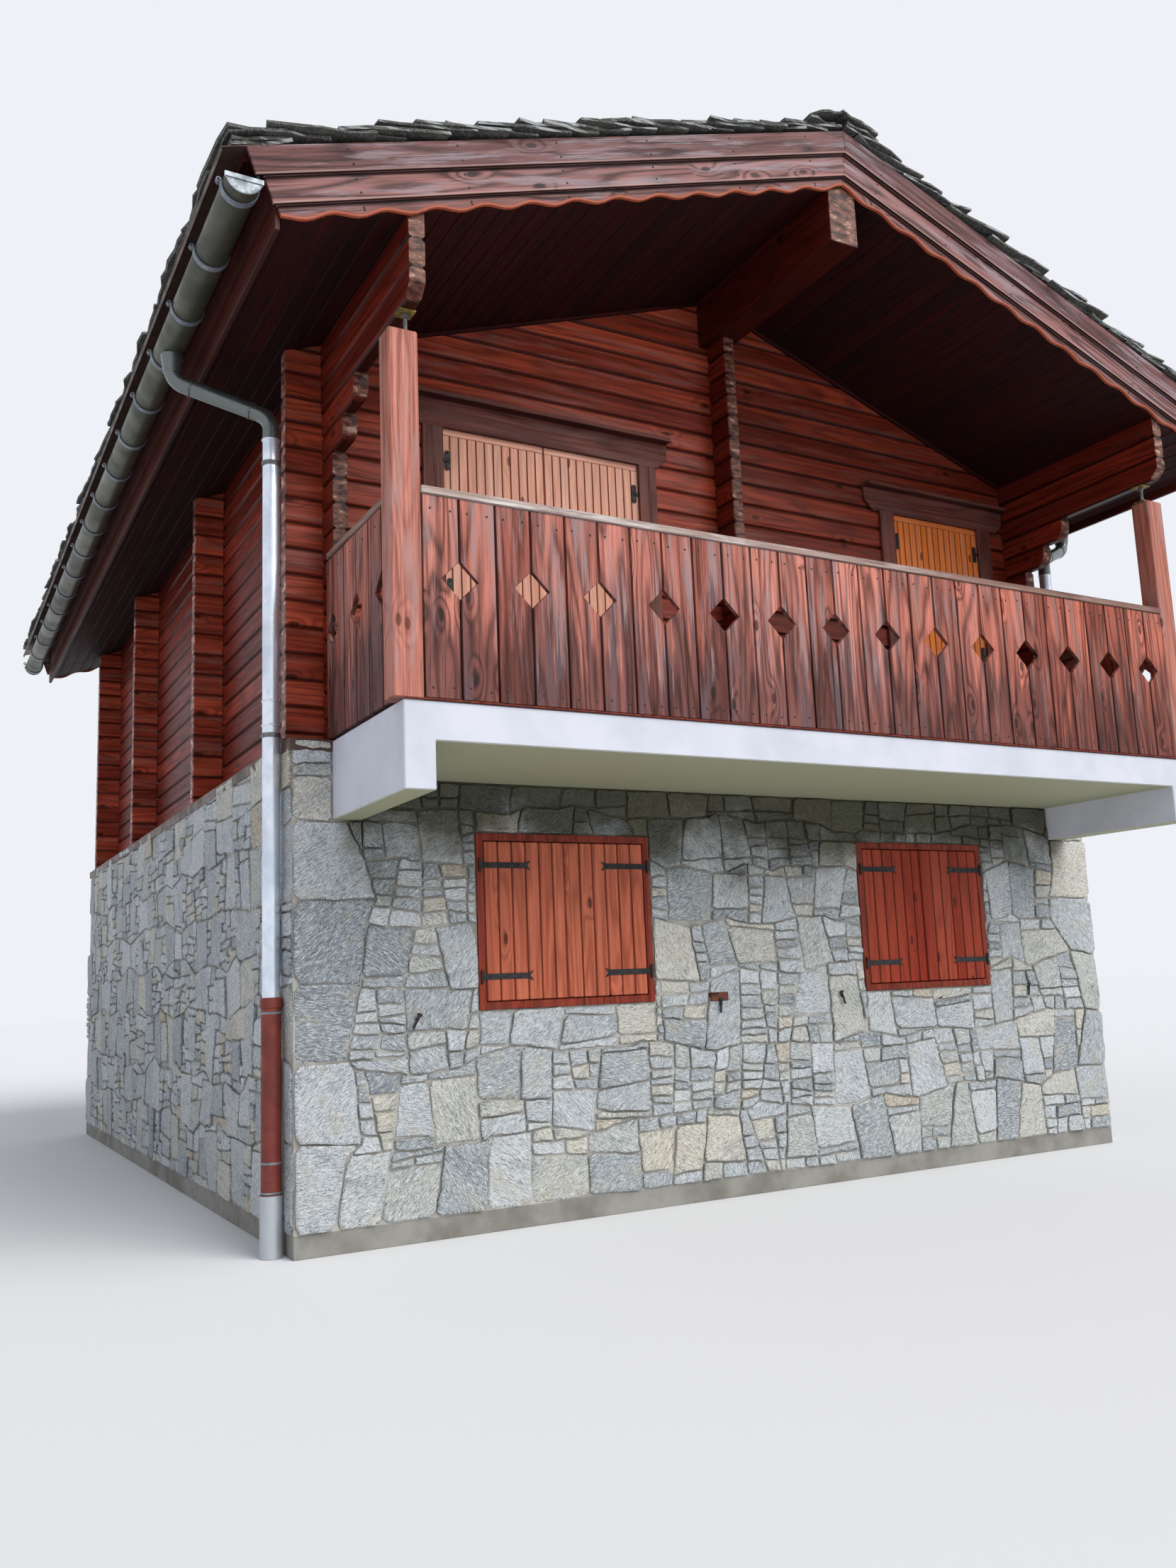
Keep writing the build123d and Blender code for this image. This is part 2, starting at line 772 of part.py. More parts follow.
def window_leaves(centre, face, inward, sill, height):
    """Two shutter leaves that close the frame."""
    opening = window_width / 2 - frame_face
    for side in (-1, 1):
        block(centre + side * fit, centre + side * (opening - fit),
              face, face + inward * shutter_thickness,
              sill + frame_face + fit, sill + height - frame_face - fit)


with BuildPart() as front_window_frames:
    for window in windows[:2]:
        window_frame(*window)
save(front_window_frames.part, "front_window_frames")

with BuildPart() as front_window_shutters:
    for window in windows[:2]:
        window_leaves(*window)
save(front_window_shutters.part, "front_window_shutters")

with BuildPart() as back_window_frames:
    for window in windows[2:]:
        window_frame(*window)
save(back_window_frames.part, "back_window_frames")

with BuildPart() as back_window_shutters:
    for window in windows[2:]:
        window_leaves(*window)
save(back_window_shutters.part, "back_window_shutters")

# Iron strap hinges on the window shutters and pintles on the door shutters
with BuildPart() as shutter_hinges:
    for centre, face, inward, sill, height in windows:
        for side in (-1, 1):
            outer = centre + side * (window_width / 2 - frame_face / 2)
            for middle in (sill + strap_margin, sill + height - strap_margin):
                block(outer, outer - side * strap_length, face - inward * strap_thickness, face,
                      middle - strap_height / 2, middle + strap_height / 2)
    for centre, width, leaves, overhang in doors:
        for side in ((-1, 1) if leaves == 2 else (-1,)):
            edge = centre + side * (width / 2 - casing_lip)
            for middle in (slab_top + pintle_margin, slab_top + door_height / 2,
                           door_top - pintle_margin):
                block(edge, edge - side * pintle_width, front_log - strap_thickness, front_log,
                      middle - pintle_height / 2, middle + pintle_height / 2)
save(shutter_hinges.part, "shutter_hinges")
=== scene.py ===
# %% [markdown]
# # An alpine chalet
#
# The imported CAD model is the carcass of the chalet: walls, floor slab, roof, gutters. It loads as a fixed frame,
# and what makes it look real goes onto that frame here: stones, slabs, boards, ironwork, and the finishes.
# Everything is in metres. X runs along the balcony, Y into the house, Z up.

# %% Load the frame
from math import atan, cos, pi, radians, sin

import bmesh
import bpy
import numpy as np
from mathutils import Matrix, Vector, noise as waviness


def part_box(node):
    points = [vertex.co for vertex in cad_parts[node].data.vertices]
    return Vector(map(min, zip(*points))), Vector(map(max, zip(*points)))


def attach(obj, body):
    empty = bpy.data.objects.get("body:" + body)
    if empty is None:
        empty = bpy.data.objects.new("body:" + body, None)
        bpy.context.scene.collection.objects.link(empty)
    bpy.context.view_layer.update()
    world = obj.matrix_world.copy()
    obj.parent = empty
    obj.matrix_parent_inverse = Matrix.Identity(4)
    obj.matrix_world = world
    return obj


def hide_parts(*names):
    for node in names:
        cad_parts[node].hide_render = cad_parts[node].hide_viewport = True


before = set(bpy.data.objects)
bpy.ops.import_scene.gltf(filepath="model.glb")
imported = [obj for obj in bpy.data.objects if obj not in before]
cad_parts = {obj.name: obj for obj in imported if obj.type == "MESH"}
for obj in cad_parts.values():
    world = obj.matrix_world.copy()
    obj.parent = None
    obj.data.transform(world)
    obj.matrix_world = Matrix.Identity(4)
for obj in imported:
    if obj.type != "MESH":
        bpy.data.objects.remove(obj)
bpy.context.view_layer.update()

# %% [markdown]
# A building is seen from the ground, so its upright lines lean in towards the sky. The camera stands where the
# photographer stood, a little left of the gable and close to it, and looks slightly up.

# %% Camera
camera_place = Vector((-5.068, -10.608, 1.365))
heading, raised, rolled = radians(29.321), radians(9.014), radians(-2.32)
ahead = Vector((sin(heading) * cos(raised), cos(heading) * cos(raised), sin(raised)))
level = Vector((cos(heading), -sin(heading), 0))
upright = level.cross(ahead)
right = level * cos(rolled) + upright * sin(rolled)
up = upright * cos(rolled) - level * sin(rolled)
lens = bpy.data.cameras.new("camera")
lens.lens, lens.sensor_width, lens.clip_end = 28.69, 36, 400
camera = bpy.data.objects.new("camera", lens)
scene = bpy.context.scene
scene.collection.objects.link(camera)
camera.matrix_world = Matrix.Translation(camera_place) @ Matrix((right, up, -ahead)).transposed().to_4x4()
scene.camera = camera
print("camera", tuple(camera_place))

# %% [markdown]
# Every look here, from the sky to the grain of a board, is made of nodes. Four helpers keep the wiring short. The
# output of a node is wrapped as a value that can be added and multiplied like a number, and each sum makes its node.


# %% Helpers for wiring
class Value:
    """One output of a node, which can be reckoned with."""

    def __init__(self, socket):
        self.socket, self.tree = socket, socket.id_data

    def maths(self, operation, *others):
        return wire(self.tree, "Math", self, *others, operation=operation)

    def __add__(self, other):
        return self.maths("ADD", other)

    def __sub__(self, other):
        return self.maths("SUBTRACT", other)

    def __rsub__(self, number):
        return wire(self.tree, "Math", number, self, operation="SUBTRACT")

    def __mul__(self, other):
        return self.maths("MULTIPLY", other)

    def __truediv__(self, other):
        return self.maths("DIVIDE", other)

    def __pow__(self, other):
        return self.maths("POWER", other)

    def __abs__(self):
        return self.maths("ABSOLUTE")


def feed_in(socket, feed):
    """Feeds an input with a value or a constant, or leaves it as it is."""
    if isinstance(feed, Value):
        feed.tree.links.new(feed.socket, socket)
    elif feed is not None:
        socket.default_value = feed


def wire(tree, kind, *feeds, out=0, named=None, **settings):
    """Adds a node, sets it up, feeds its inputs in order and by name, and gives one of its outputs."""
    node = tree.nodes.new("ShaderNode" + kind)
    for name, setting in settings.items():
        setattr(node, name, setting)
    for key, feed in [*enumerate(feeds), *(named or {}).items()]:
        feed_in(node.inputs[key], feed)
    return Value(node.outputs[out])


def parts(vector):
    """The x, y and z of a vector."""
    return [Value(part) for part in wire(vector.tree, "SeparateXYZ", vector).socket.node.outputs]


# %% [markdown]
# The light is that of a bright overcast day in a studio: a pale dome from all round, and one very soft lamp from
# the front right, so that the left side falls into shade. Together they light a surface at about full strength,
# so a colour comes out as it is written.

# %% Sky and lamp
scene.view_settings.view_transform = "Standard"
sky = scene.world = bpy.data.worlds.new("sky")
sky.use_nodes = True
sky.node_tree.nodes.clear()
rays = sky.node_tree.nodes.new("ShaderNodeLightPath").outputs
camera_ray, glossy_ray, through = [Value(rays[f"Is {kind} Ray"]) for kind in ("Camera", "Glossy", "Transmission")]
seen = camera_ray.maths("MAXIMUM", glossy_ray).maths("MAXIMUM", through)
dome = wire(sky.node_tree, "Background", (0.9, 0.93, 1, 1), 0.55)
backdrop = wire(sky.node_tree, "Background", (0.86, 0.88, 0.93, 1), 1)
feed_in(sky.node_tree.nodes.new("ShaderNodeOutputWorld").inputs["Surface"],
        wire(sky.node_tree, "MixShader", seen, dome, backdrop))

lamp = bpy.data.lights.new("soft_lamp", "SUN")
lamp.energy, lamp.angle, lamp.color = 2.5, radians(45), (1, 0.98, 0.95)
lamp_object = bpy.data.objects.new("soft_lamp", lamp)
scene.collection.objects.link(lamp_object)
lamp_object.rotation_euler = (radians(48), 0, radians(24))
print("sky and lamp", len(sky.node_tree.nodes), "nodes")


# %% [markdown]
# A few small helpers do what the mouse does by hand: deselect everything, set a finished piece down so that its
# place is in its mesh, and select the vertices, edges or faces that an edit is meant for.

# %% Helpers for modelling
def object_mode():
    bpy.ops.object.mode_set(mode="OBJECT")


def nothing_selected():
    """Leaves edit mode and deselects every object."""
    if bpy.context.mode != "OBJECT":
        object_mode()
    bpy.ops.object.select_all(action="DESELECT")


def take(piece):
    """Makes a piece the only one selected."""
    nothing_selected()
    piece.select_set(True)
    bpy.context.view_layer.objects.active = piece


def set_down(piece, name):
    """Puts a piece's place, turn and scale into its mesh."""
    take(piece)
    bpy.ops.object.transform_apply(location=True, rotation=True, scale=True)
    piece.name = piece.data.name = name
    return piece


def primitive(add, name, scale=(1, 1, 1), **how):
    """Adds a primitive at its size and place and sets it down."""
    nothing_selected()
    add(**how)
    bpy.context.object.scale = scale
    return set_down(bpy.context.object, name)


def block(name, low, high):
    """A cube stretched between two corners."""
    nothing_selected()
    size = [b - a for a, b in zip(low, high)]
    middle = [(a + b) / 2 for a, b in zip(low, high)]
    bpy.ops.mesh.primitive_cube_add(size=1, location=middle, scale=size)
    return set_down(bpy.context.object, name)


def select(action, kind=None):
    """Selects all, nothing or the rest, as vertices, edges or faces if asked."""
    if kind:
        bpy.ops.mesh.select_mode(type=kind)
    bpy.ops.mesh.select_all(action=action)


def edit(piece):
    """Opens a piece in edit mode with nothing selected in it."""
    take(piece)
    bpy.ops.object.mode_set(mode="EDIT")
    select("DESELECT", "VERT")


def pick(piece, wanted, kind="VERT"):
    """Selects the vertices, edges or faces whose middle and normal pass a test; an edge gives its run as normal."""
    select("DESELECT", kind)
    shape = bmesh.from_edit_mesh(piece.data)
    looks = {"VERT": (shape.verts, lambda spot: (spot.co, spot.normal)),
             "EDGE": (shape.edges, lambda edge: ((edge.verts[0].co + edge.verts[1].co) / 2,
                                                 edge.verts[1].co - edge.verts[0].co)),
             "FACE": (shape.faces, lambda face: (face.calc_center_median(), face.normal))}
    items, look = looks[kind]
    for item in items:
        if wanted(*look(item)):
            item.select_set(True)
    shape.select_flush_mode()
    bmesh.update_edit_mesh(piece.data)


def saw(spot, across, **keep):
    """Cuts the whole piece with one plane."""
    select("SELECT")
    bpy.ops.mesh.bisect(plane_co=spot, plane_no=across, **keep)


def draw_out(x, y, z):
    """Extrudes what is selected."""
    bpy.ops.mesh.extrude_region_move(TRANSFORM_OT_translate={"value": (x, y, z)})


def soften(piece, width, segments=1):
    """Bevels every sharp edge of a piece by a modifier and applies it."""
    take(piece)
    bevel = piece.modifiers.new("edges", "BEVEL")
    bevel.width, bevel.segments, bevel.limit_method, bevel.angle_limit = width, segments, "ANGLE", radians(30)
    bpy.ops.object.modifier_apply(modifier=bevel.name)


def turn_outwards(piece):
    """Merges doubles and makes all faces of a piece point outwards."""
    edit(piece)
    select("SELECT")
    bpy.ops.mesh.remove_doubles(threshold=0.0001)
    bpy.ops.mesh.normals_make_consistent(inside=False)
    object_mode()


bpy.context.preferences.edit.use_global_undo = False
floor = block("floor", (-90, -90, -0.4), (90, 90, -0.002))
print("floor", tuple(floor.dimensions))

# %% [markdown]
# Most of the chalet is many small things of one kind: boards, slabs, nails. Each kind is modelled once and read
# as arrays, then copied to every place into one joined mesh. Each copy carries two attributes for the finish:
# `tone`, a number from 0 to 1 of its own, and `grain`, coordinates that run along, across and through it.

# %% Copies joined in one mesh
dice = np.random.default_rng(1860)
waviness.seed_set(1860)


def turn(angle, axis):
    """A turn about an axis."""
    return Matrix.Rotation(angle, 4, axis)


at = Matrix.Translation


def brought(place, points):
    """Points brought to a place."""
    return np.array([place @ Vector(point) for point in points])


def far_apart(rows=()):
    """A random shift of the grain, so that no two pieces show the same wood or stone."""
    return dice.uniform(-50, 50, (*rows, 3))


def co_of(mesh):
    """The points of a mesh as an array."""
    points = np.empty(len(mesh.vertices) * 3)
    mesh.vertices.foreach_get("co", points)
    return points.reshape(-1, 3)


def read_off(piece, bevel=None, segments=1):
    """Bevels a modelled pattern or turns its faces outwards, takes its points and faces, and clears it away."""
    if bevel:
        soften(piece, bevel, segments)
    else:
        turn_outwards(piece)
    points, faces = co_of(piece.data), [list(face.vertices) for face in piece.data.polygons]
    bpy.data.objects.remove(piece)
    return points, faces


def give_attribute(mesh, name, values):
    """Gives each point of a mesh a number or a vector for the finish to read."""
    kind, field = ("FLOAT", "value") if values.ndim == 1 else ("FLOAT_VECTOR", "vector")
    mesh.attributes.new(name, kind, "POINT").data.foreach_set(field, values.ravel())


def joined(name, copies):
    """One mesh from (points, faces, grain, tone) of each copy."""
    points, faces, grains, tones, start = [], [], [], [], 0
    for spots, sides, grain, tone in copies:
        points.append(spots)
        grains.append(grain)
        tones.append(np.full(len(spots), tone))
        faces += [[start + n for n in side] for side in sides]
        start += len(spots)
    mesh = bpy.data.meshes.new(name)
    mesh.from_pydata(np.concatenate(points).tolist(), [], faces)
    give_attribute(mesh, "grain", np.concatenate(grains))
    give_attribute(mesh, "tone", np.concatenate(tones))
    piece = bpy.data.objects.new(name, mesh)
    scene.collection.objects.link(piece)
    return piece


def fitted(piece, slot, *stands_for):
    """Fixes a finished piece to the house and hides the CAD nodes it stands for; the finish slot is not used."""
    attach(piece, "root")
    if stands_for:
        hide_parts(*stands_for)
    print(f"{piece.name}: {sum(len(face.vertices) - 2 for face in piece.data.polygons)} triangles")
    return piece


# %% [markdown]
# A sawn board is a block with its arrises taken off. The pattern block is one cube with bevelled edges. A copy of
# any size keeps the bevel's width, because only the flat middle is stretched.

# %% The pattern board
pattern = block("pattern_board", (-0.5, -0.5, -0.5), (0.5, 0.5, 0.5))
board_points, board_faces = read_off(pattern, 0.1)
in_from_edge = (0.5 - abs(board_points)) / 0.1
print("pattern board", len(board_faces), "faces")


def board(low, high, along, arris=0.003, tone=None, place=None):
    """A copy of the pattern board between two corners, its grain along an axis, brought to a place if asked."""
    low, high = np.array(low, float), np.array(high, float)
    centred = np.sign(board_points) * ((high - low) / 2 - in_from_edge * arris)
    axes = [along] + [axis for axis in (0, 1, 2) if axis != along]
    grain = centred[:, axes] + far_apart()
    points = centred + (low + high) / 2
    if place is not None:
        points = brought(place, points)
    return points, board_faces, grain, dice.random() if tone is None else tone


# %% [markdown]
# ## The rubble stone walls
#
# Each wall is laid in split gneiss: big blocks about 30 to 40 cm across with nearly flush mortar, and between them
# stacks of thin pieces. Placing stones one by one would leave gaps, so the wall is drawn the other way round: one
# plane is cut into stones by slanted cuts (bisect), first in courses, then in cells, and half of the cells again into
# slivers. The corners of the cells are moved a little before the last cuts, so that no joint runs straight through.


# %% Cutting a wall into stones
quoin_width, quoin_heights = 0.36, (0.58, 0.99, 1.42, 1.86, 2.31)
biggest_stone, thinnest_stone, thinnest_shard = 0.135, 0.027, 0.016
footing, wall_top = 0.12, 2.76


def drawn(piece):
    """The faces of the drawn wall and the layer that holds each one's number."""
    shape = bmesh.from_edit_mesh(piece.data)
    return shape.faces, shape.faces.layers.int["stone"]


def cut(piece, wanted, spot, across):
    """Cuts the faces that pass a test with one plane, and gives new pieces numbers of their own."""
    select("DESELECT")
    faces, number = drawn(piece)
    for face in faces:
        if wanted(face, face[number]):
            face.select_set(True)
    bpy.ops.mesh.bisect(plane_co=(*spot, 0), plane_no=(*across, 0))
    faces, number = drawn(piece)
    same, new = {}, []
    for face in faces:
        same.setdefault(face[number], []).append(face)
    highest = max(same)
    for key in sorted(same):
        for face in sorted(same[key], key=lambda face: [round(c, 3) for c in face.calc_center_bounds()])[1:]:
            highest += 1
            face[number] = highest
            new.append(highest)
    return new


def reach(face):
    """The left, right, lower and upper limits of a face in the wall's plane."""
    across, tall = [v.co.x for v in face.verts], [v.co.y for v in face.verts]
    return min(across), max(across), min(tall), max(tall)


def in_field(face, width):
    """Whether a face lies between the quoins."""
    return quoin_width < face.calc_center_bounds().x < width - quoin_width


def corner_strips(piece, width):
    """Cuts a strip at each end of the wall and divides it into quoins."""
    for edge, side in ((quoin_width, -1), (width - quoin_width, 1)):
        cut(piece, lambda face, n: True, (edge, 0), (1, 0))
        for height in quoin_heights:
            cut(piece, lambda face, n: side * (face.calc_center_bounds().x - edge) > 0, (edge, height), (0, 1))


def cells(piece, width):
    """Divides the field between the quoins into courses and each course into cells."""
    height, courses = footing, []
    while wall_top - height > 0.6:
        height += dice.uniform(0.27, 0.42)
        courses.append(height)
        cut(piece, lambda face, n: in_field(face, width), (0, height), (dice.uniform(-0.01, 0.01), 1))
    for bottom, top in zip([footing] + courses, courses + [wall_top]):
        across = quoin_width + dice.uniform(0.2, 0.5)
        while across < width - quoin_width - 0.2:
            cut(piece, lambda face, n: in_field(face, width) and bottom < face.calc_center_bounds().y < top,
                (across, (bottom + top) / 2), (1, dice.uniform(-0.25, 0.25)))
            across += dice.uniform(0.26, 0.48)


def stir(piece, width):
    """Moves the corners of the cells, near ones together, but not off the wall's edge, and teeth the quoins."""
    start = Vector((0, 0, dice.uniform(0, 100)))
    for spot in bmesh.from_edit_mesh(piece.data).verts:
        shift = waviness.noise_vector(spot.co * 3.1 + start)
        toothed = min(abs(spot.co.x - quoin_width), abs(width - quoin_width - spot.co.x)) < 0.001
        if 0.001 < spot.co.x < width - 0.001:
            spot.co.x += 0.07 * shift.x
            if toothed:
                spot.co.x += 0.24 * waviness.noise_vector(spot.co * 5 + start).x
            if footing + 0.001 < spot.co.y < wall_top - 0.001:
                spot.co.y += 0.13 * shift.y
    bmesh.update_edit_mesh(piece.data)


def clear_opening(piece, opening):
    """Cuts the stones along an opening's edge and takes out what is inside."""
    left, far_side, bottom, top = opening

    def crossing(face, number):
        a, b, c, d = reach(face)
        return a < far_side and b > left and c < top and d > bottom

    for spot, across in (((left, 0), (1, 0)), ((far_side, 0), (1, 0)), ((0, bottom), (0, 1)), ((0, top), (0, 1))):
        cut(piece, crossing, spot, across)
    pick(piece, lambda middle, normal: left < middle.x < far_side and bottom < middle.y < top, "FACE")
    bpy.ops.mesh.delete(type="FACE")


def next_cut(face, trims):
    """How a stone is cut next, or None: a trim off its side, a halving, or a sliver off a narrow stack."""
    left, far_side, bottom, top = reach(face)
    wide, tall, area = far_side - left, top - bottom, face.calc_area()
    mean_tall, mean_wide = area / wide, area / tall
    upright, share = wide > tall, dice.uniform(0.35, 0.65)
    if mean_tall < 0.125:
        upright, wanted = True, mean_wide > dice.uniform(0.17, 0.36)
    elif mean_wide < 0.19:
        upright, wanted = False, mean_tall > dice.uniform(0.07, 0.15)
        share = dice.uniform(0.04, 0.075) / mean_tall
    elif area > biggest_stone and trims > 0:
        wanted = True
    else:
        wanted = trims > 0 and dice.random() < 0.66
        trims -= 1
        upright = dice.random() < 0.35
        share = dice.uniform(0.08, 0.15) / mean_wide if upright else dice.uniform(0.04, 0.085) / mean_tall
        share = 1 - share if dice.random() < 0.5 else share
    if not wanted:
        return None, trims
    if upright:
        return ((left + wide * share, (bottom + top) / 2), (1, dice.uniform(-0.22, 0.22))), trims
    return (((left + far_side) / 2, bottom + tall * share), (dice.uniform(-0.1, 0.1), 1)), trims


def split_further(piece, width):
    """Trims thin pieces off the cells, halves what is too big and cuts narrow ones into stacks of slivers."""
    faces, number = drawn(piece)
    waiting = []
    for face in sorted(faces, key=lambda face: face[number]):
        whole_quoin = not in_field(face, width) and dice.random() < 0.6
        waiting.append((face[number], 0 if whole_quoin else 2))
    while waiting:
        key, trims = waiting.pop()
        faces, number = drawn(piece)
        plane, trims = next_cut(next(face for face in faces if face[number] == key), trims)
        new = cut(piece, lambda face, n: n == key, *plane) if plane else []
        waiting += [(stone, trims) for stone in [key] * bool(new) + new]


# %% [markdown]
# A drawn stone becomes a solid in the order a mason dresses it: the joint is taken off all round (inset), the corners
# are knocked off (vertex bevel), the face stands out of the mortar (extrude), and its arris is broken (inset with
# depth). At the end each stone gets its own tilt and its own distance out of the wall.


# %% Dressing the stones
def drop_thin(piece, thinnest, standing=-1.0):
    """Deletes the faces that are too thin for their longest edge, or that don't look out of the wall."""
    select("DESELECT", "FACE")
    for face in bmesh.from_edit_mesh(piece.data).faces:
        longest = max(edge.calc_length() for edge in face.edges)
        if face.normal.z < standing or face.calc_area() < thinnest * longest:
            face.select_set(True)
    bpy.ops.mesh.delete(type="FACE")


def knock_off_tips(piece):
    """Cuts off the corners that are too sharp to stay on a real stone."""
    for sharpest, length in ((35, 0.03), (45, 0.02)):
        select("DESELECT", "VERT")
        for face in bmesh.from_edit_mesh(piece.data).faces:
            for corner in face.loops:
                if corner.calc_angle() < radians(sharpest):
                    corner.vert.select_set(True)
        bpy.ops.mesh.bevel(affect="VERTICES", offset=length)


def dress(piece):
    """Turns the drawn faces into stones that stand out of the wall's plane; mortar fills what is too thin."""
    drop_thin(piece, thinnest_stone)
    select("SELECT")
    bpy.ops.mesh.remove_doubles(threshold=0.018)
    select("SELECT", "FACE")
    bpy.ops.mesh.inset(thickness=0.008, use_individual=True, use_even_offset=False)
    select("INVERT")
    bpy.ops.mesh.delete(type="FACE")
    knock_off_tips(piece)
    drop_thin(piece, thinnest_shard, 0.9)
    select("SELECT", "VERT")
    bpy.ops.mesh.bevel(affect="VERTICES", offset_type="PERCENT", offset_pct=9)
    for longest in (0.14, 0.07):
        pick(piece, lambda middle, run: run.length > longest, "EDGE")
        bpy.ops.mesh.subdivide(number_cuts=1)
    select("DESELECT")
    bpy.ops.mesh.select_non_manifold(use_wire=False, use_multi_face=False, use_non_contiguous=False, use_verts=False)
    select("INVERT")
    bpy.ops.mesh.dissolve_edges(use_verts=False)
    select("SELECT", "FACE")
    draw_out(0, 0, 0.014)
    bpy.ops.mesh.inset(thickness=0.003, depth=0.005, use_individual=True, use_even_offset=False)
    bpy.ops.mesh.poke()
    object_mode()
    bpy.ops.object.shade_smooth_by_angle(angle=radians(28))


def settle(mesh):
    """Gives each stone its tilt, its distance out of the wall and its uneven face, and its attributes."""
    stone = np.empty(len(mesh.polygons), int)
    mesh.attributes["stone"].data.foreach_get("value", stone)
    of_point = np.zeros(len(mesh.vertices), int)
    for face, key in zip(mesh.polygons, stone):
        of_point[list(face.vertices)] = key
    points = co_of(mesh)
    count = stone.max() + 1
    size = np.maximum(np.bincount(of_point, minlength=count), 1)
    middles = np.stack([np.bincount(of_point, points[:, axis], count) / size for axis in (0, 1)], axis=1)
    apart = points[:, :2] - middles[of_point]
    lean = dice.uniform(-0.03, 0.03, (count, 2))[of_point]
    proud = dice.uniform(-0.011, 0.006, count)[of_point]
    start = dice.uniform(0, 100)
    uneven = np.array([waviness.noise_vector(Vector((x * 26, y * 26, start))) for x, y, z in points.tolist()])
    front_side, on_face = points[:, 2] > 0.005, points[:, 2] > 0.0165
    points[:, :2] += 0.011 * uneven[:, :2] - np.where(on_face, 0.04, 0)[:, None] * apart
    points[:, 2] += np.where(front_side, (apart * lean).sum(axis=1) + proud + 0.006 * uneven[:, 2], -0.02)
    points[:, 2] = np.minimum(points[:, 2], 0.026)
    way = dice.uniform(-1.1, 1.1, count)[of_point]
    grain = np.stack([apart[:, 0] * np.cos(way) + apart[:, 1] * np.sin(way),
                      apart[:, 1] * np.cos(way) - apart[:, 0] * np.sin(way), points[:, 2]], axis=1)
    mesh.vertices.foreach_set("co", points.ravel())
    give_attribute(mesh, "grain", grain + far_apart((count,))[of_point])
    give_attribute(mesh, "tone", dice.random(count)[of_point])
    # Painted shade: the sides of each stone are marked for darkening, standing in for the shade in the joints.
    give_attribute(mesh, "joint_shade", np.where(front_side, np.where(on_face, 0, 0.15), 1).astype(float))
    return len(np.unique(stone))


def rubble_wall(name, width, openings, along, start):
    """One wall of stones, drawn in its own plane and stood up, its width along a direction from its lower left."""
    tall = wall_top - footing
    piece = primitive(bpy.ops.mesh.primitive_plane_add, name, (width, tall, 1), size=1,
                      location=(width / 2, footing + tall / 2, 0))
    edit(piece)
    bpy.ops.mesh.select_mode(type="FACE")
    bmesh.from_edit_mesh(piece.data).faces.layers.int.new("stone")
    corner_strips(piece, width)
    cells(piece, width)
    stir(piece, width)
    for opening in openings:
        clear_opening(piece, opening)
    split_further(piece, width)
    dress(piece)
    stones = settle(piece.data)
    out = Vector(along).cross(Vector((0, 0, 1)))
    piece.data.transform(at(start) @ Matrix((Vector(along), Vector((0, 0, 1)), out)).transposed().to_4x4())
    print(f"{name}: {stones} stones")
    return fitted(piece, "rubble_stone")


half_width, half_depth = 3.165, 3.9
slab_half, slab_bottom, beam_width, beam_bottom = 2.94, 2.56, 0.165, 2.315
window_half, window_sill, window_head = 0.595, 1.23, 2.26
front_windows = -1.485, 1.417
gap = 0.004


def front_opening(middle, half, bottom, top):
    """An opening in the front wall, measured from the house's middle, with a gap all round."""
    return middle + half_width - half - gap, middle + half_width + half + gap, bottom - gap, top


front_openings = [front_opening(middle, window_half, window_sill, window_head + gap) for middle in front_windows]
front_openings.append(front_opening(0, slab_half, slab_bottom, wall_top + 1))
beam_middle = slab_half - beam_width / 2
front_openings += [front_opening(side * beam_middle, beam_width / 2, beam_bottom, slab_bottom) for side in (-1, 1)]
walls = (("front", half_width, front_openings, (1, 0, 0), -half_width, -half_depth),
         ("right", half_depth, [], (0, 1, 0), half_width, -half_depth),
         ("back", half_width, [], (-1, 0, 0), half_width, half_depth),
         ("left", half_depth, [], (0, -1, 0), -half_width, half_depth))
masonry = [rubble_wall(f"{name}_masonry", 2 * half, openings, along, (x, y, 0))
           for name, half, openings, along, x, y in walls]

# %% [markdown]
# ## The stone roof
#
# The roof is laid with split slabs, each course lapped over the one below, so the tails make a jagged line at the
# eaves and the verges show a stack of edges. A few slabs with different broken outlines are modelled once. Each copy
# lies at a small tilt, its tail on the course below and its head on the boarding.


# %% The pattern slabs
def pattern_slab(number):
    """A thin slab one unit long and wide, with a broken outline and a chipped upper arris."""
    slab = primitive(bpy.ops.mesh.primitive_plane_add, f"pattern_slab_{number}", size=1)
    edit(slab)
    select("SELECT")
    bpy.ops.mesh.subdivide(number_cuts=3)
    bpy.ops.transform.vertex_random(offset=0.075, seed=number)
    select("SELECT", "FACE")
    draw_out(0, 0, 1)
    bpy.ops.mesh.inset(thickness=0.03, use_even_offset=False)
    bpy.ops.transform.translate(value=(0, 0, 0.3))
    points, faces = read_off(slab)
    points[:, 2] = np.clip(points[:, 2] / 1.3, 0, 1)
    return points, faces


pattern_slabs = [pattern_slab(number) for number in range(6)]
pitch = atan(0.345)
roof_apex, ridge_top, eaves_limit = 6.62, 6.766, 4.079
verge_front, verge_back = -5.268, 4.543
print("pattern slabs", len(pattern_slabs))


def on_roof(side, points):
    """Takes points from (down the slope, along the house, off the boarding) to their place on one roof side."""
    down, along, off = points.T
    return np.stack([side * (down * cos(pitch) + off * sin(pitch)), along,
                     roof_apex - down * sin(pitch) + off * cos(pitch)], axis=1)


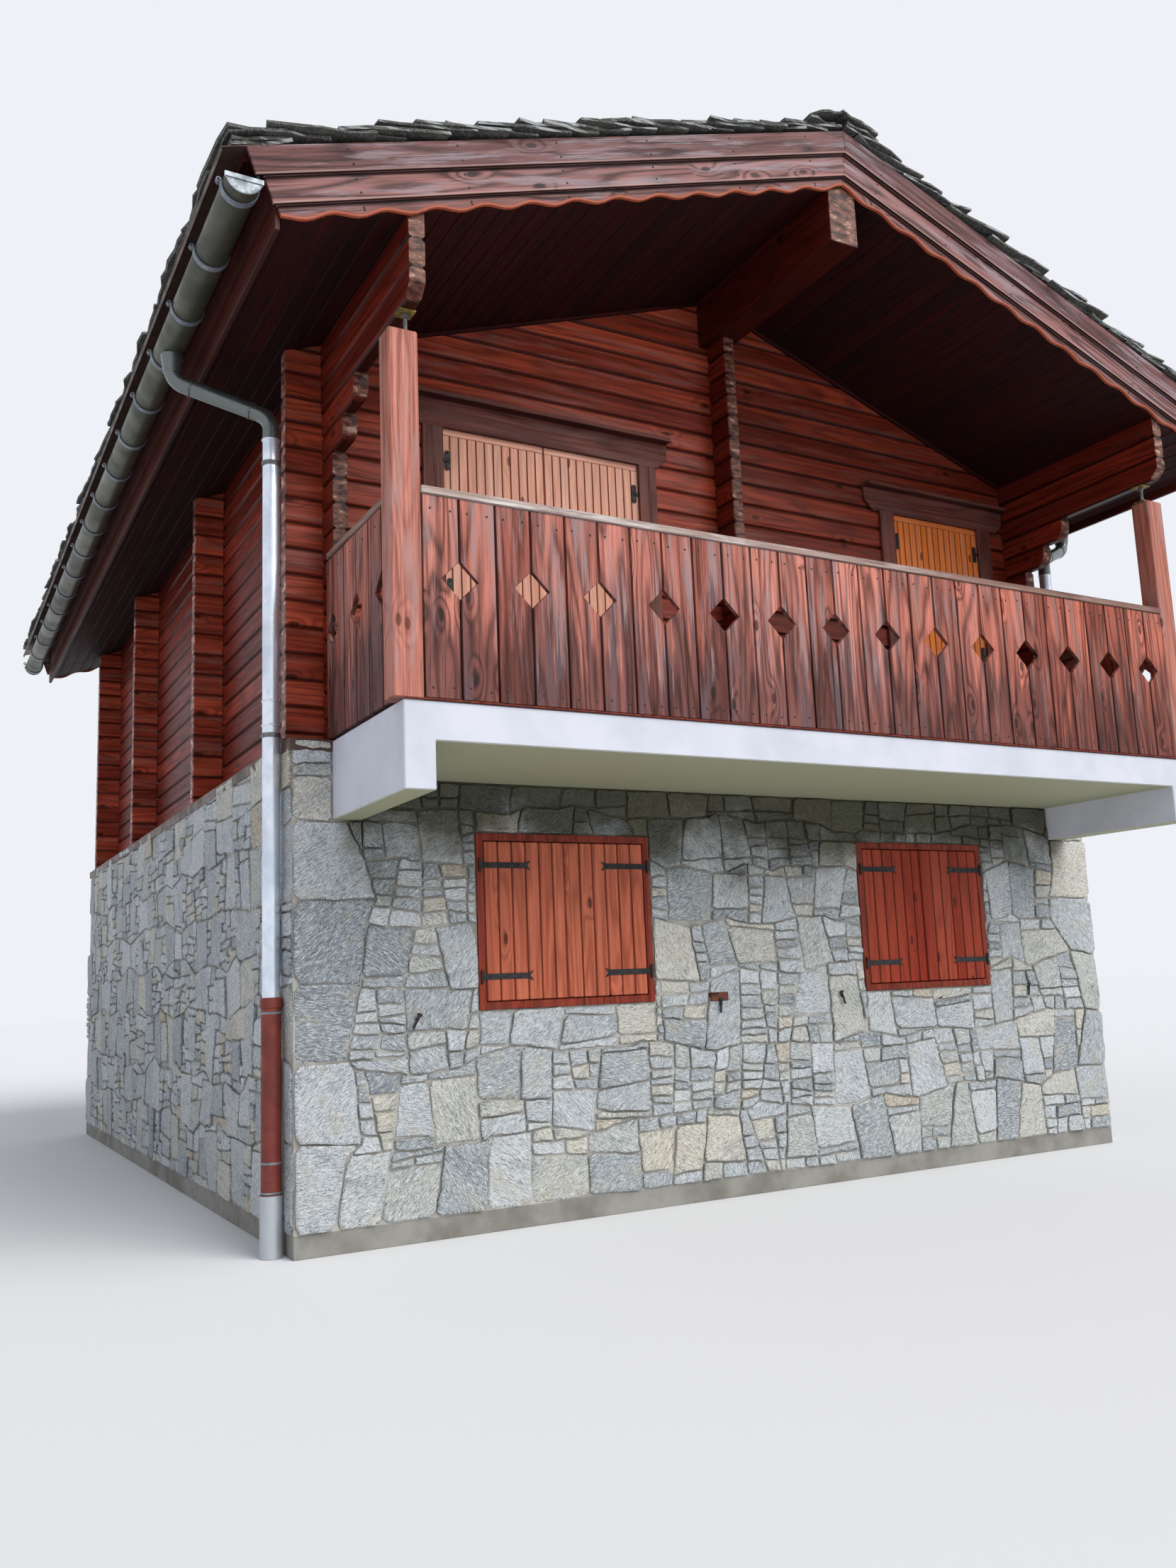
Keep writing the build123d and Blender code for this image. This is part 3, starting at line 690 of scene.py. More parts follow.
def laid_slab(side, tail, length, start, width, thickness, tail_height, slope):
    """One slab with its tail at a distance down the slope and its underside there at a height off the boarding."""
    points, faces = pattern_slabs[dice.integers(len(pattern_slabs))]
    points = points.copy()
    flip = dice.random() < 0.5
    if flip:
        points[:, 1] *= -1
    faces = [face[::-1] if flip != (side < 0) else face for face in faces]
    back = (0.5 - points[:, 0]) * length
    chipped = dice.normal(0, 0.0015, len(points))
    spots = np.stack([np.minimum(tail - back, eaves_limit),
                      np.clip(start + (points[:, 1] + 0.5) * width, verge_front, verge_back),
                      np.clip(tail_height - back * slope + points[:, 2] * thickness + chipped, 0.001, None)], axis=1)
    grain = spots[:, [1, 0, 2]] + far_apart()
    spots = on_roof(side, spots)
    spots[:, 2] = np.minimum(spots[:, 2], ridge_top)
    return spots, faces, grain, dice.random()


def roof_side(name, side):
    """All the courses of one side, with three starter courses along the eaves."""
    slabs, exposure, tail = [], 0.2, 4.07
    rows = [(4.06, 0.3, 0.002, 0.0), (4.05, 0.3, 0.026, 0.0), (4.06, 0.3, 0.05, 0.0)]
    while tail > 0.2:
        rows.append((tail, min(0.56, tail - 0.02), 0.074, 0.115))
        tail -= exposure
    for tail, length, height, slope in rows:
        start = verge_front + dice.uniform(0, 0.06)
        while start < verge_back - 0.1:
            width = min(dice.uniform(0.3, 0.62), verge_back + 0.01 - start)
            thickness = dice.uniform(0.015, 0.025)
            slabs.append(laid_slab(side, tail - dice.uniform(0, 0.03), length, start, width + 0.012, thickness,
                                   height + dice.uniform(0, 0.012), slope))
            start += width
    return fitted(joined(f"{name}_roof_slabs", slabs), "roof_stone", f"{name}_roof_stones")


both_sides = (-1, "left"), (1, "right")
slab_roof = [roof_side(name, side) for side, name in both_sides]

# %% Ridge slabs
ridge_slabs = []
for side in (-1, 1):
    start = verge_front
    while start < verge_back - 0.15:
        width = min(dice.uniform(0.4, 0.7), verge_back - start)
        over = 0.035 if side < 0 else 0.07
        ridge_slabs.append(laid_slab(side, 0.24, 0.24 + over, start, width + 0.02, 0.02, 0.1, 0.0))
        ridge_slabs.append(laid_slab(side, dice.uniform(0.19, 0.25), 0.22 + over, start + 0.2, width - 0.1, 0.018,
                                     0.118, 0.0))
        start += width
slab_roof.append(fitted(joined("ridge_slabs", ridge_slabs), "roof_stone", "ridge_stones"))


# %% [markdown]
# A folded brown sheet lies under the first slabs of each eaves. Its lip hangs down a little past the slabs, so that
# water drips off it into the gutter.

# %% Drip sheets
def roof_board(side, inner, outer, near, beyond, low, high, along, arris, apex):
    """A board that lies along one roof side, measured out from the ridge and up from the slope under an apex."""
    a, b = sorted((side * inner, side * outer))
    return board((a, near, low), (b, beyond, high), along, arris, None, at((0, 0, apex)) @ turn(side * pitch, "Y"))


sheet_lip, sheet_in = 4.096, 0.045
for side, name in both_sides:
    sheets = [roof_board(side, inner, sheet_lip, verge_front + sheet_in, verge_back - sheet_in, low, 0.0015, 1, 0.001,
                         roof_apex) for inner, low in ((3.9, -0.003), (sheet_lip - 0.004, -0.024))]
    fitted(joined(f"{name}_drip_sheet", sheets), "brown_sheet")

# %% [markdown]
# ## Boards under the roof
#
# The soffit is tongue-and-groove boarding that runs with the ridge. Its V joints are what one sees from below, so
# each board is laid as a board, turned to the slope.

# %% Soffit boards
soffit_apex, soffit_board, soffit_thickness = 6.27, 0.12, 0.008
overhangs = [(-5.159, -3.69, 0.0, 3.57), (3.895, 4.434, 0.0, 3.57), (-3.69, 3.895, 2.925, 3.57)]
for side, name in both_sides:
    strips = []
    for near, beyond, inner, outer in overhangs:
        for number in range(int(outer / cos(pitch) / soffit_board) + 1):
            a = max(number * soffit_board, inner / cos(pitch)) + 0.001
            b = min((number + 1) * soffit_board, outer / cos(pitch)) - 0.001
            if b - a > 0.02:
                strips.append(roof_board(side, a, b, near, beyond, -soffit_thickness, 0, 1, 0.005, soffit_apex))
    fitted(joined(f"{name}_soffit_boards", strips), "soffit_board")

# %% [markdown]
# ## The balcony
#
# The parapet is a row of upright boards. Every second joint is sawn to half a diamond on both sides. The board is
# modelled once, with the notch on one side: cut at three heights, the middle corner pushed in. Its mirror image
# gives the neighbour.

# %% Parapet boards
parapet_low, parapet_high = 2.77, 3.815
board_pitch, board_gap, board_deep, front_count = 0.2025, 0.009, 0.027, 28
diamond_z, diamond_half = 3.385, 0.1
half_board, notch = (board_pitch - board_gap) / 2, diamond_half - board_gap / 2
notched = block("pattern_notched_board", (-half_board, 0, parapet_low), (half_board, board_deep, parapet_high))
edit(notched)
for height in (diamond_z - notch, diamond_z, diamond_z + notch):
    saw((0, 0, height), (0, 0, 1))
pick(notched, lambda spot, normal: abs(spot.z - diamond_z) < 0.001 and spot.x > 0)
bpy.ops.transform.translate(value=(-notch, 0, 0))
notched_points, notched_faces = read_off(notched, 0.003)
print("parapet board", len(notched_faces), "faces")


def parapet_board(mirrored, narrow, place):
    """A notched board, its notch on the other side if mirrored, sawn narrow for the ends of the side parapets."""
    points, faces = notched_points.copy(), notched_faces
    if narrow:
        points[:, 0] = np.where(points[:, 0] < -0.05, points[:, 0] + 0.09, points[:, 0])
    if mirrored:
        points[:, 0] *= -1
        faces = [face[::-1] for face in faces]
    grain = points[:, [2, 0, 1]] + far_apart()
    return brought(place, points), faces, grain, dice.random()


post_inner, post_face, post_back = 2.835, -5.045, -4.905
front_places = [-post_inner + (number + 0.5) * board_pitch for number in range(front_count)]
fitted(joined("front_parapet_boards", [parapet_board(number % 2 == 1, False, at((x, post_face, 0)))
                                       for number, x in enumerate(front_places)]), "balcony_wood", "front_parapet")
side_middle, side_face = -4.3875, 2.955
for side, name in both_sides:
    side_boards = []
    for number in range(-3, 3):
        place = at((side * side_face, side_middle + (number + 0.5) * board_pitch, 0)) @ turn(side * pi / 2, "Z")
        side_boards.append(parapet_board((number % 2 != 0) == (side < 0), number in (-3, 2), place))
    fitted(joined(f"{name}_parapet_boards", side_boards), "balcony_wood", f"{name}_parapet")

# %% Posts and handrails
rail_top, rail_middle, half_rail, rails = 3.86, -5.004, 0.05, []
for side, name in both_sides:
    inner, outer = sorted((side * post_inner, side * 2.995))
    post = board((inner, post_face, 2.76), (outer, post_back, 4.685), 2, 0.008)
    fitted(joined(f"{name}_post", [post]), "balcony_wood", f"{name}_balcony_post")
    inner, outer = sorted((side * 2.864, side * 2.964))
    rails.append(board((inner, post_back, parapet_high), (outer, -3.895, rail_top), 1, 0.006))
rails.append(board((-post_inner, rail_middle - half_rail, parapet_high),
                   (post_inner, rail_middle + half_rail, rail_top), 0, 0.006))
fitted(joined("handrail_boards", rails), "balcony_wood", "handrails")

# %% [markdown]
# ## Shutters
#
# The balcony doors and the windows are closed by shutters of narrow boards. The door leaves are tongue-and-groove at
# 61 mm, the window leaves have six wider boards each and a strip over the middle joint.

# %% Door leaves
door_low, door_high, log_face = 2.76, 4.88, -3.685
doors = (-1.417, 1.466, 2), (2.08, 0.915, 1)
for centre, width, leaves in doors:
    strips, leaf, double = [], width / leaves, leaves == 2
    for number in range(leaves):
        left = centre - width / 2 + number * leaf + 0.003
        count = round((leaf - 0.006) / 0.061)
        strip = (leaf - 0.006) / count
        for a in [left + place * strip for place in range(count)]:
            strips.append(board((a + 0.0008, log_face + 0.002, door_low + 0.004),
                                (a + strip - 0.0008, log_face + 0.03, door_high - 0.05), 2, 0.0048,
                                dice.uniform(0, 0.25) if double else dice.uniform(0.8, 1)))
        strips.append(board((left, log_face + 0.004, door_high - 0.05),
                            (left + leaf - 0.006, log_face + 0.03, door_high - 0.003), 0, 0.004,
                            0.1 if double else 0.9))
        strips.append(board((left + 0.002, log_face + 0.026, door_low + 0.006),
                            (left + leaf - 0.008, log_face + 0.0305, door_high - 0.006), 2, 0.001, 0.5))
    fitted(joined("double_door_leaves" if double else "single_door_leaf", strips), "orange_wood",
           *["door_shutters"] * double)

# %% Window leaves
window_places = [(x, -3.915, 1, window_sill, window_head) for x in front_windows]
window_places += [(x, 3.905, -1, 3.66, 4.88) for x in (-1.45, 1.45)]
leaf_half = window_half - 0.048
strip = (leaf_half - 0.002) / 6
for name, windows in (("front", window_places[:2]), ("back", window_places[2:])):
    strips = []
    for centre, face, inward, low, high in windows:
        near, beyond = sorted((face + inward * 0.001, face + inward * 0.03))
        for side in (-1, 1):
            for number in range(6):
                a, b = sorted(centre + side * (0.002 + place * strip) for place in (number, number + 1))
                strips.append(board((a + 0.0018, near, low + 0.049), (b - 0.0018, beyond, high - 0.049), 2, 0.005,
                                    dice.uniform(0, 0.3) + (0.7 if centre > 0 else 0)))
        near, beyond = sorted((face - inward * 0.012, face + inward * 0.002))
        strips.append(board((centre - 0.02, near, low + 0.051), (centre + 0.02, beyond, high - 0.051), 2, 0.007,
                            0.9 if centre > 0 else 0.2))
    fitted(joined(f"{name}_window_leaves", strips), "red_wood", f"{name}_window_shutters")

# %% [markdown]
# ## Timbers with eased edges
#
# The CAD timbers have knife edges, and real sawn timber never has. A copy of each is merged, its loose triangles are
# joined to whole faces (limited dissolve), and every arris is bevelled. The copy then stands for the CAD node.

# %% Eased copies of the CAD timbers
eased_nodes = {
    "front_log_wall": ("front_logs", 0.005, "log"), "back_log_wall": ("back_logs", 0.005, "log"),
    "left_log_wall": ("left_logs", 0.005, "log"), "right_log_wall": ("right_logs", 0.005, "log"),
    "left_wall_stubs": ("left_log_ends", 0.006, "log"), "right_wall_stubs": ("right_log_ends", 0.006, "log"),
    "centre_wall_stub": ("centre_log_ends", 0.006, "log"), "eaves_fascias": ("fascia_boards", 0.003, "barge_board"),
    "door_casings": ("door_frames", 0.003, "dark_wood"), "front_window_frames": ("front_frames", 0.003, "red_wood"),
    "back_window_frames": ("back_frames", 0.003, "red_wood"),
    "floor_slab": ("balcony_floor", 0.006, "painted_concrete"),
}
for node, (name, width, slot) in eased_nodes.items():
    piece = bpy.data.objects.new(name, bpy.data.objects[node].data.copy())
    scene.collection.objects.link(piece)
    piece.data.name = name
    edit(piece)
    select("SELECT")
    bpy.ops.mesh.remove_doubles(threshold=0.0001)
    bpy.ops.mesh.dissolve_limited(angle_limit=radians(1))
    soften(piece, width)
    fitted(piece, slot, node)

# %% [markdown]
# The ridge purlin is one heavy beam. Unlike the eaves purlins it is sawn off square, and its top is planed to the
# two slopes of the roof.

# %% Ridge beam
ridge_beam = block("ridge_beam", *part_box("ridge_purlin"))
edit(ridge_beam)
for side in (-1, 1):
    saw((0, 0, soffit_apex), (side * sin(pitch), 0, cos(pitch)), clear_outer=True, use_fill=True)
soften(ridge_beam, 0.004)
fitted(ridge_beam, "log", "ridge_purlin")

# %% [markdown]
# ## Barge boards
#
# Three boards are lapped down each verge, each one 22 mm behind the one above, with a small gap that shows as a
# dark line. The lowest ends in a wavy edge with a bead. Each board is modelled level, in slope coordinates: down the
# slope, through the board, and square off the roof. It is sawn at the ridge's mitre and then laid up the slope.

# %% Barge boards
verge_face, verge_middle = -5.225, -0.3625
barge_layers = ((0.145, 3.751), (0.28, 3.706), (0.358, 3.683))
# The top board takes the deep tone, as painted shade under the slab edges.
barge_tones, layer_step, barge_thick = (0.9, 0.1, 0.3), 0.022, 0.016
wave_length, wave_depth, bead, bead_proud = 0.29, 0.026, 0.016, 0.004


def barge_board(layer, depth, run):
    """One board as deep as it reaches down from the roof's top, and as long as it runs out."""
    near = verge_face + layer * layer_step
    piece = block("barge_board", (-0.2, near, -depth), (run / cos(pitch), near + barge_thick, 0))
    edit(piece)
    if layer == len(barge_layers) - 1:
        saw((0, 0, bead - depth), (0, 0, 1))
        pick(piece, lambda middle, along: abs(along.x) > 1, "EDGE")
        bpy.ops.mesh.subdivide(number_cuts=170)
        pick(piece, lambda middle, normal: normal.y < -0.9 and middle.z < bead - depth, "FACE")
        draw_out(0, -bead_proud, 0)
        for spot in bmesh.from_edit_mesh(piece.data).verts:
            if spot.co.z < bead - depth + 0.001:
                spot.co.z += wave_depth / 2 * (1 - cos(2 * pi * spot.co.x / wave_length))
    saw((0, 0, 0), (cos(pitch), 0, sin(pitch)), clear_inner=True, use_fill=True)
    return read_off(piece, 0.0025)


def to_back(points):
    """Points of the front verge mirrored to the back one."""
    return points * (1, -1, 1) + (0, 2 * verge_middle, 0)


verges = {"front": [], "back": []}
for layer, (depth, run) in enumerate(barge_layers):
    points, faces = barge_board(layer, depth, run)
    turned_over = [face[::-1] for face in faces]
    for side in (-1, 1):
        for name, spots, flipped in (("front", points, side < 0), ("back", to_back(points), side > 0)):
            grain = spots[:, [0, 2, 1]] + far_apart()
            verges[name].append((on_roof(side, spots), turned_over if flipped else faces, grain,
                                 barge_tones[layer] + dice.uniform(-0.1, 0.1)))
for name, boards in verges.items():
    fitted(joined(f"{name}_barge", boards), "barge_board", f"{name}_barge_boards")

# %% [markdown]
# ## Nails and ironwork
#
# Small iron is forged or cast once and used many times, so each kind is one pattern here too: a domed nail head, a
# strap with a swallow tail and its barrel, a pintle plate, a hold-back. Each pattern looks towards -Y, with its back
# on the plane y = 0.


# %% Iron patterns
def round_bar(radius, length, place=(0, 0, 0), head=0.0, sides=16):
    """An upright round bar with its arrises broken and, if asked, a smaller head drawn out at both ends."""
    piece = primitive(bpy.ops.mesh.primitive_cylinder_add, "pattern_bar", vertices=sides, radius=radius, depth=length,
                      location=place)
    edit(piece)
    for way in (-1, 1) if head else ():
        pick(piece, lambda middle, normal: normal.z * way > 0.9, "FACE")
        bpy.ops.mesh.inset(thickness=radius * 0.35)
        draw_out(0, 0, way * head)
    return read_off(piece, radius * 0.12)


def strap_pattern():
    """A flat strap that runs towards -X from the barrel and ends in a swallow tail."""
    piece = block("pattern_strap", (-0.33, -0.004, -0.017), (0, 0, 0.017))
    edit(piece)
    saw((0, 0, 0), (0, 0, 1))
    saw((-0.295, 0, 0), (1, 0, 0))
    pick(piece, lambda spot, normal: spot.x < -0.32 and abs(spot.z) > 0.01)
    bpy.ops.transform.resize(value=(1, 1, 1.7), center_override=(-0.33, 0, 0))
    pick(piece, lambda spot, normal: spot.x < -0.32 and abs(spot.z) < 0.01)
    bpy.ops.transform.translate(value=(0.024, 0, 0))
    return read_off(piece, 0.001)


def plate(low, high, rounding):
    """A flat plate with rounded corners."""
    piece = block("pattern_plate", low, high)
    edit(piece)
    pick(piece, lambda middle, along: abs(along.y) > 0.9 * along.length, "EDGE")
    bpy.ops.mesh.bevel(offset=rounding, segments=4, affect="EDGES")
    return read_off(piece, 0.001)


def moved(shape, *shift):
    """A pattern shifted."""
    return shape[0] + np.array(shift), shape[1]


def together(*shapes):
    """Several patterns as one."""
    points, faces = [], []
    for spots, sides in shapes:
        start = sum(len(part) for part in points)
        faces += [[start + n for n in side] for side in sides]
        points.append(spots)
    return np.concatenate(points), faces


def copied(shape, place=at((0, 0, 0)), mirrored=False):
    """A copy of a pattern in a new place, mirrored left to right if asked."""
    points, faces = shape
    if mirrored:
        points, faces = points * (-1, 1, 1), [face[::-1] for face in faces]
    return brought(place, points), faces, points + far_apart(), dice.random()


nail = primitive(bpy.ops.mesh.primitive_uv_sphere_add, "pattern_nail", segments=10, ring_count=6, radius=0.0065)
edit(nail)
saw((0, 0, 0), (0, 1, 0), clear_outer=True, use_fill=True)
select("SELECT")
bpy.ops.transform.resize(value=(1, 0.45, 1), center_override=(0, 0, 0))
nail = read_off(nail)
strap = together(strap_pattern(), round_bar(0.009, 0.07, (0.004, -0.006, 0), 0.006),
                 *[moved(nail, -along, -0.004, 0) for along in (0.05, 0.15, 0.25)])
pintle = together(plate((-0.06, -0.005, -0.065), (-0.026, 0, 0.065), 0.014),
                  plate((-0.05, -0.009, -0.012), (0.012, -0.004, 0.012), 0.004),
                  round_bar(0.009, 0.05, (0.016, -0.008, 0), 0.008),
                  moved(nail, -0.043, -0.005, 0.045), moved(nail, -0.043, -0.005, -0.045))
print("strap", len(strap[1]), "faces, pintle", len(pintle[1]), "faces")

# %% Shutter ironwork
about_face, hinge_aside, hinge_in, pintle_heights = turn(pi, "Z"), 0.5725, 0.19, (2.98, 3.82, 4.66)
irons = []
for centre, face, inward, low, high in window_places:
    for side in (-1, 1):
        for height in (low + hinge_in, high - hinge_in):
            place = at((centre + side * hinge_aside, face, height))
            irons.append(copied(strap, place if inward > 0 else place @ about_face, side * inward < 0))
for centre, width in [door[:2] for door in doors]:
    for side in (-1, 1):
        for height in pintle_heights:
            irons.append(copied(pintle, at((centre + side * (width / 2), log_face - 0.002, height)), side < 0))
fitted(joined("shutter_ironwork", irons), "black_iron", "shutter_hinges")

# %% Nails in the boards
nails, nail_aside, nail_heights, nail_spacing = [], 0.055, (2.825, 3.74), 0.62
for x in front_places:
    for aside in (-nail_aside, nail_aside):
        for height in nail_heights:
            nails.append(copied(nail, at((x + aside, post_face, height + dice.uniform(-0.008, 0.008)))))
for side in (-1, 1):
    for number in range(-3, 3):
        for height in nail_heights:
            along = side_middle + (number + 0.5) * board_pitch + dice.uniform(-0.03, 0.03)
            nails.append(copied(nail, at((side * side_face, along, height)) @ turn(side * pi / 2, "Z")))
for layer, (depth, run) in enumerate(barge_layers):
    top = barge_layers[layer - 1][0] if layer else 0
    for down in np.arange(0.35, 3.8, nail_spacing):
        for off in (top + 0.03, depth - 0.035):
            for side in (-1, 1):
                spot = on_roof(side, np.array([[down, verge_face + layer * layer_step, -off]]))[0]
                nails.append(copied(nail, at(spot)))
                nails.append(copied(nail, at(to_back(spot)) @ about_face))
fitted(joined("board_nails", nails), "black_iron")

# %% [markdown]
# The shutters are held open by small iron hold-backs let into the wall beside the windows, one of them on a wooden
# block.

# %% Hold-backs
hold_back = together(moved(round_bar(0.006, 0.03, sides=10), 0, -0.02, 0),
                     plate((-0.007, -0.034, -0.06), (0.007, -0.026, 0.03), 0.005),
                     plate((-0.015, -0.036, 0.018), (0.015, -0.024, 0.034), 0.005),
                     plate((-0.004, -0.03, -0.006), (0.004, 0.02, 0.006), 0.002))
wall_skin = -half_depth - 0.006
holds = [copied(hold_back, at((x, wall_skin, z)) @ turn(lean, "Y"))
         for x, z, lean in ((-2.47, 1.2, 0.5), (-0.41, 1.2, 0.12), (0.59, 1.21, -0.3), (2.38, 1.2, 0.2))]
fitted(joined("hold_backs", holds), "black_iron")
wooden_block = board((-0.48, wall_skin - 0.024, 1.215), (-0.345, wall_skin + 0.02, 1.27), 0, 0.005)
fitted(joined("hold_back_block", [wooden_block]), "dark_wood")

# %% [markdown]
# ## Gutters and pipes
#
# A gutter bracket is one flat bar, bent: down from the deck, round under the gutter, and rolled to a small ring over
# the outer rim. Two spins do the bends. The gutter gets a rolled bead along its rim and a folded cap at each end.

# %% Gutter brackets
gutter_x, gutter_z, gutter_radius = 3.76, 5.16, 0.085
deck_z, bar_reach, bar_thick, bar_width = 5.3, 0.0895, 0.005, 0.038
ring_rise, ring_reach = 0.012, 0.0105
hook = primitive(bpy.ops.mesh.primitive_plane_add, "pattern_bracket", (bar_thick, bar_width, 1), size=1,
                 location=(gutter_x - bar_reach, 0, deck_z))
edit(hook)
select("SELECT")
draw_out(0, 0, gutter_z - deck_z)
bpy.ops.mesh.spin(steps=18, angle=pi, center=(gutter_x, 0, gutter_z), axis=(0, 1, 0))
draw_out(0, 0, ring_rise)
bpy.ops.mesh.spin(steps=10, angle=-1.6 * pi, center=(gutter_x + bar_reach + ring_reach, 0, gutter_z + ring_rise),
                  axis=(0, 1, 0))
pick(hook, lambda spot, normal: spot.z > gutter_z + 0.001 and spot.x > gutter_x)
bpy.ops.transform.resize(value=(1, 0.6, 1), center_override=(gutter_x, 0, gutter_z))
hook = read_off(hook)
tongue = plate((gutter_x - 0.086, -0.011, gutter_z + 0.002), (gutter_x + 0.088, 0.011, gutter_z + 0.0036), 0.0005)
bracket_count, bracket_first = 17, -5.13
bracket_pitch = 2 * (verge_middle - bracket_first) / (bracket_count - 1)
hooks, tongues = [], []
for number in range(bracket_count):
    place = at((0, bracket_first + number * bracket_pitch, 0))
    for mirrored in (True, False):
        hooks.append(copied(hook, place, mirrored))
        if number % 2 == 0:
            tongues.append(copied(tongue, place, mirrored))
fitted(joined("gutter_hooks", hooks), "bright_zinc", "gutter_brackets")
fitted(joined("gutter_tongues", tongues), "bright_zinc")

# %% Rims and caps
rims = []
for offset, radius in ((0.0775, 0.0075), (-0.08, 0.004)):
    rim = primitive(bpy.ops.mesh.primitive_cylinder_add, "pattern_rim", vertices=14, radius=radius,
                    depth=2 * (verge_middle - verge_face), rotation=(pi / 2, 0, 0),
                    location=(gutter_x + offset, verge_middle, gutter_z + 0.003))
    rim = read_off(rim, radius * 0.3)
    rims += [copied(rim), copied(rim, mirrored=True)]
fitted(joined("gutter_rims", rims), "aged_zinc")
cap = primitive(bpy.ops.mesh.primitive_circle_add, "pattern_cap", vertices=48, radius=gutter_radius + 0.004,
                fill_type="NGON", rotation=(pi / 2, 0, 0), location=(gutter_x, 0, gutter_z))
edit(cap)
saw((0, 0, gutter_z), (0, 0, 1), clear_outer=True)
select("SELECT")
draw_out(0, -0.005, 0)
bpy.ops.mesh.inset(thickness=0.007)
bpy.ops.transform.translate(value=(0, 0.003, 0))
cap = together(read_off(cap), plate((gutter_x - 0.092, -0.007, gutter_z - 0.022),
                                    (gutter_x + 0.092, 0.004, gutter_z + 0.003), 0.001))
caps = []
for mirrored in (True, False):
    caps.append(copied(cap, at((0, verge_face, 0)), mirrored))
    back_end = at((0, 2 * verge_middle - verge_face, 0)) @ Matrix.Diagonal((1, -1, 1, 1))
    points, faces, grain, tone = copied(cap, back_end, mirrored)
    caps.append((points, [face[::-1] for face in faces], grain, tone))
fitted(joined("gutter_caps", caps), "bright_zinc")

# %% [markdown]
# The pipes are plain tube. What makes them look real are their joints: a funnel under the gutter, collars where two
# lengths meet, and rings on the cast sleeve at the foot.

# %% Collars and funnels
pipe_x, pipe_y, pipe_radius, outlet_y = 3.24, -3.74, 0.048, -3.52
funnel_top = gutter_z - gutter_radius
funnel = primitive(bpy.ops.mesh.primitive_cylinder_add, "pattern_funnel", vertices=32, radius=pipe_radius + 0.004,
                   depth=0.1, location=(gutter_x, outlet_y, funnel_top - 0.045))
edit(funnel)
pick(funnel, lambda spot, normal: spot.z > funnel_top)
bpy.ops.transform.resize(value=(1.3, 1.3, 1), center_override=(gutter_x, outlet_y, funnel_top))
funnel = read_off(funnel, 0.003, 2)
collar, band, ring = [round_bar(radius, length, sides=32)
                      for radius, length in ((pipe_radius + 0.005, 0.018), (0.06, 0.06), (0.0575, 0.02))]
first_bend, second_bend = Vector((gutter_x, outlet_y, 4.925)), Vector((pipe_x, pipe_y, 4.7))
leaning = (first_bend - second_bend).to_track_quat("Z", "Y").to_matrix().to_4x4()
collar_places = [at((gutter_x, outlet_y, funnel_top - 0.095))]
collar_places += [at(first_bend.lerp(second_bend, share)) @ leaning for share in (0.2, 0.8)]
collar_places += [at((pipe_x, pipe_y, height)) for height in (4.56, 3.0, 2.86)]
pipe_joints = {
    "pipe_collars": ("bright_zinc", [funnel] + [(brought(place, collar[0]), collar[1]) for place in collar_places]),
    "sleeve_rings": ("bright_zinc", [moved(ring, pipe_x, pipe_y, height) for height in (1.27, 0.483, 0.33)]),
    "sleeve_collars": ("painted_iron", [moved(band, pipe_x, pipe_y, 1.322)]),
}
for name, (slot, shapes) in pipe_joints.items():
    fitted(joined(name, [copied(shape, mirrored=way) for shape in shapes for way in (False, True)]), slot)

# %% Jacks on the balcony posts
jack_x, jack_y, jack_low, jack_high = 2.875, -4.975, 4.685, 4.814
plates, rods = [], []
jack_plate = plate((-0.045, -0.045, 0), (0.045, 0.045, 0.008), 0.001)
rod = together(round_bar(0.012, jack_high - jack_low - 0.004, (0, 0, (jack_low + jack_high) / 2)),
               *[round_bar(0.021, 0.018, (0, 0, height), sides=6) for height in (jack_high - 0.02, jack_low + 0.02)])
bolt = round_bar(0.007, 0.008, head=0.002, sides=6)
for side in (-1, 1):
    for low, below in ((jack_high - 0.008, -1), (jack_low, 1)):
        plates.append(copied(jack_plate, at((side * jack_x, jack_y, low))))
        for a in (-0.03, 0.03):
            for b in (-0.03, 0.03):
                plates.append(copied(bolt, at((side * jack_x + a, jack_y + b, low + 0.004 + below * 0.007))))
    rods.append(copied(rod, at((side * jack_x, jack_y, 0))))
fitted(joined("jack_plates", plates), "steel_rod", "post_jacks")
fitted(joined("jack_rods", rods), "steel_rod")

# %% Trims
trims = [roof_board(side, 0.115, 2.99, near, beyond, -0.03, -0.007, 0, 0.006, soffit_apex)
         for near, beyond in ((-3.712, -3.68), (3.885, 3.915)) for side in (-1, 1)]
fitted(joined("soffit_trims", trims), "soffit_board")
tiles, slab_end, tile_width = [], 2.935, 0.2025
for start in [-slab_end + number * tile_width for number in range(29)]:
    tiles.append(board((start + 0.001, -5.042, 2.7605), (min(start + tile_width - 0.001, slab_end), -4.9, 2.7695), 0,
                       0.002))
fitted(joined("slab_edge_tiles", tiles), "balcony_wood")

# %% [markdown]
# ## Finishes
#
# Every finish is made of shader nodes too. The helpers here write a colour as a painter would, 0 to 255, stretch a
# noise axis by axis, make soft steps, and mix or tint colours by a share.


# %% Helpers for finishes
def paint(red, green, blue):
    """A colour written 0 to 255, as a linear RGBA value."""
    return (*[(c / 255 / 12.92) if c <= 10 else ((c / 255 + 0.055) / 1.055) ** 2.4 for c in (red, green, blue)], 1)


def shaded(colour, *share):
    """A written colour multiplied channel by channel."""
    return (*[a * b for a, b in zip(colour, share)], 1)


def stretched(vector, scale, shift=(0, 0, 0)):
    """Coordinates multiplied by one number or axis by axis, and shifted."""
    scale = scale if isinstance(scale, tuple) else (scale, scale, scale)
    return wire(vector.tree, "Mapping", vector, shift, (0, 0, 0), scale)


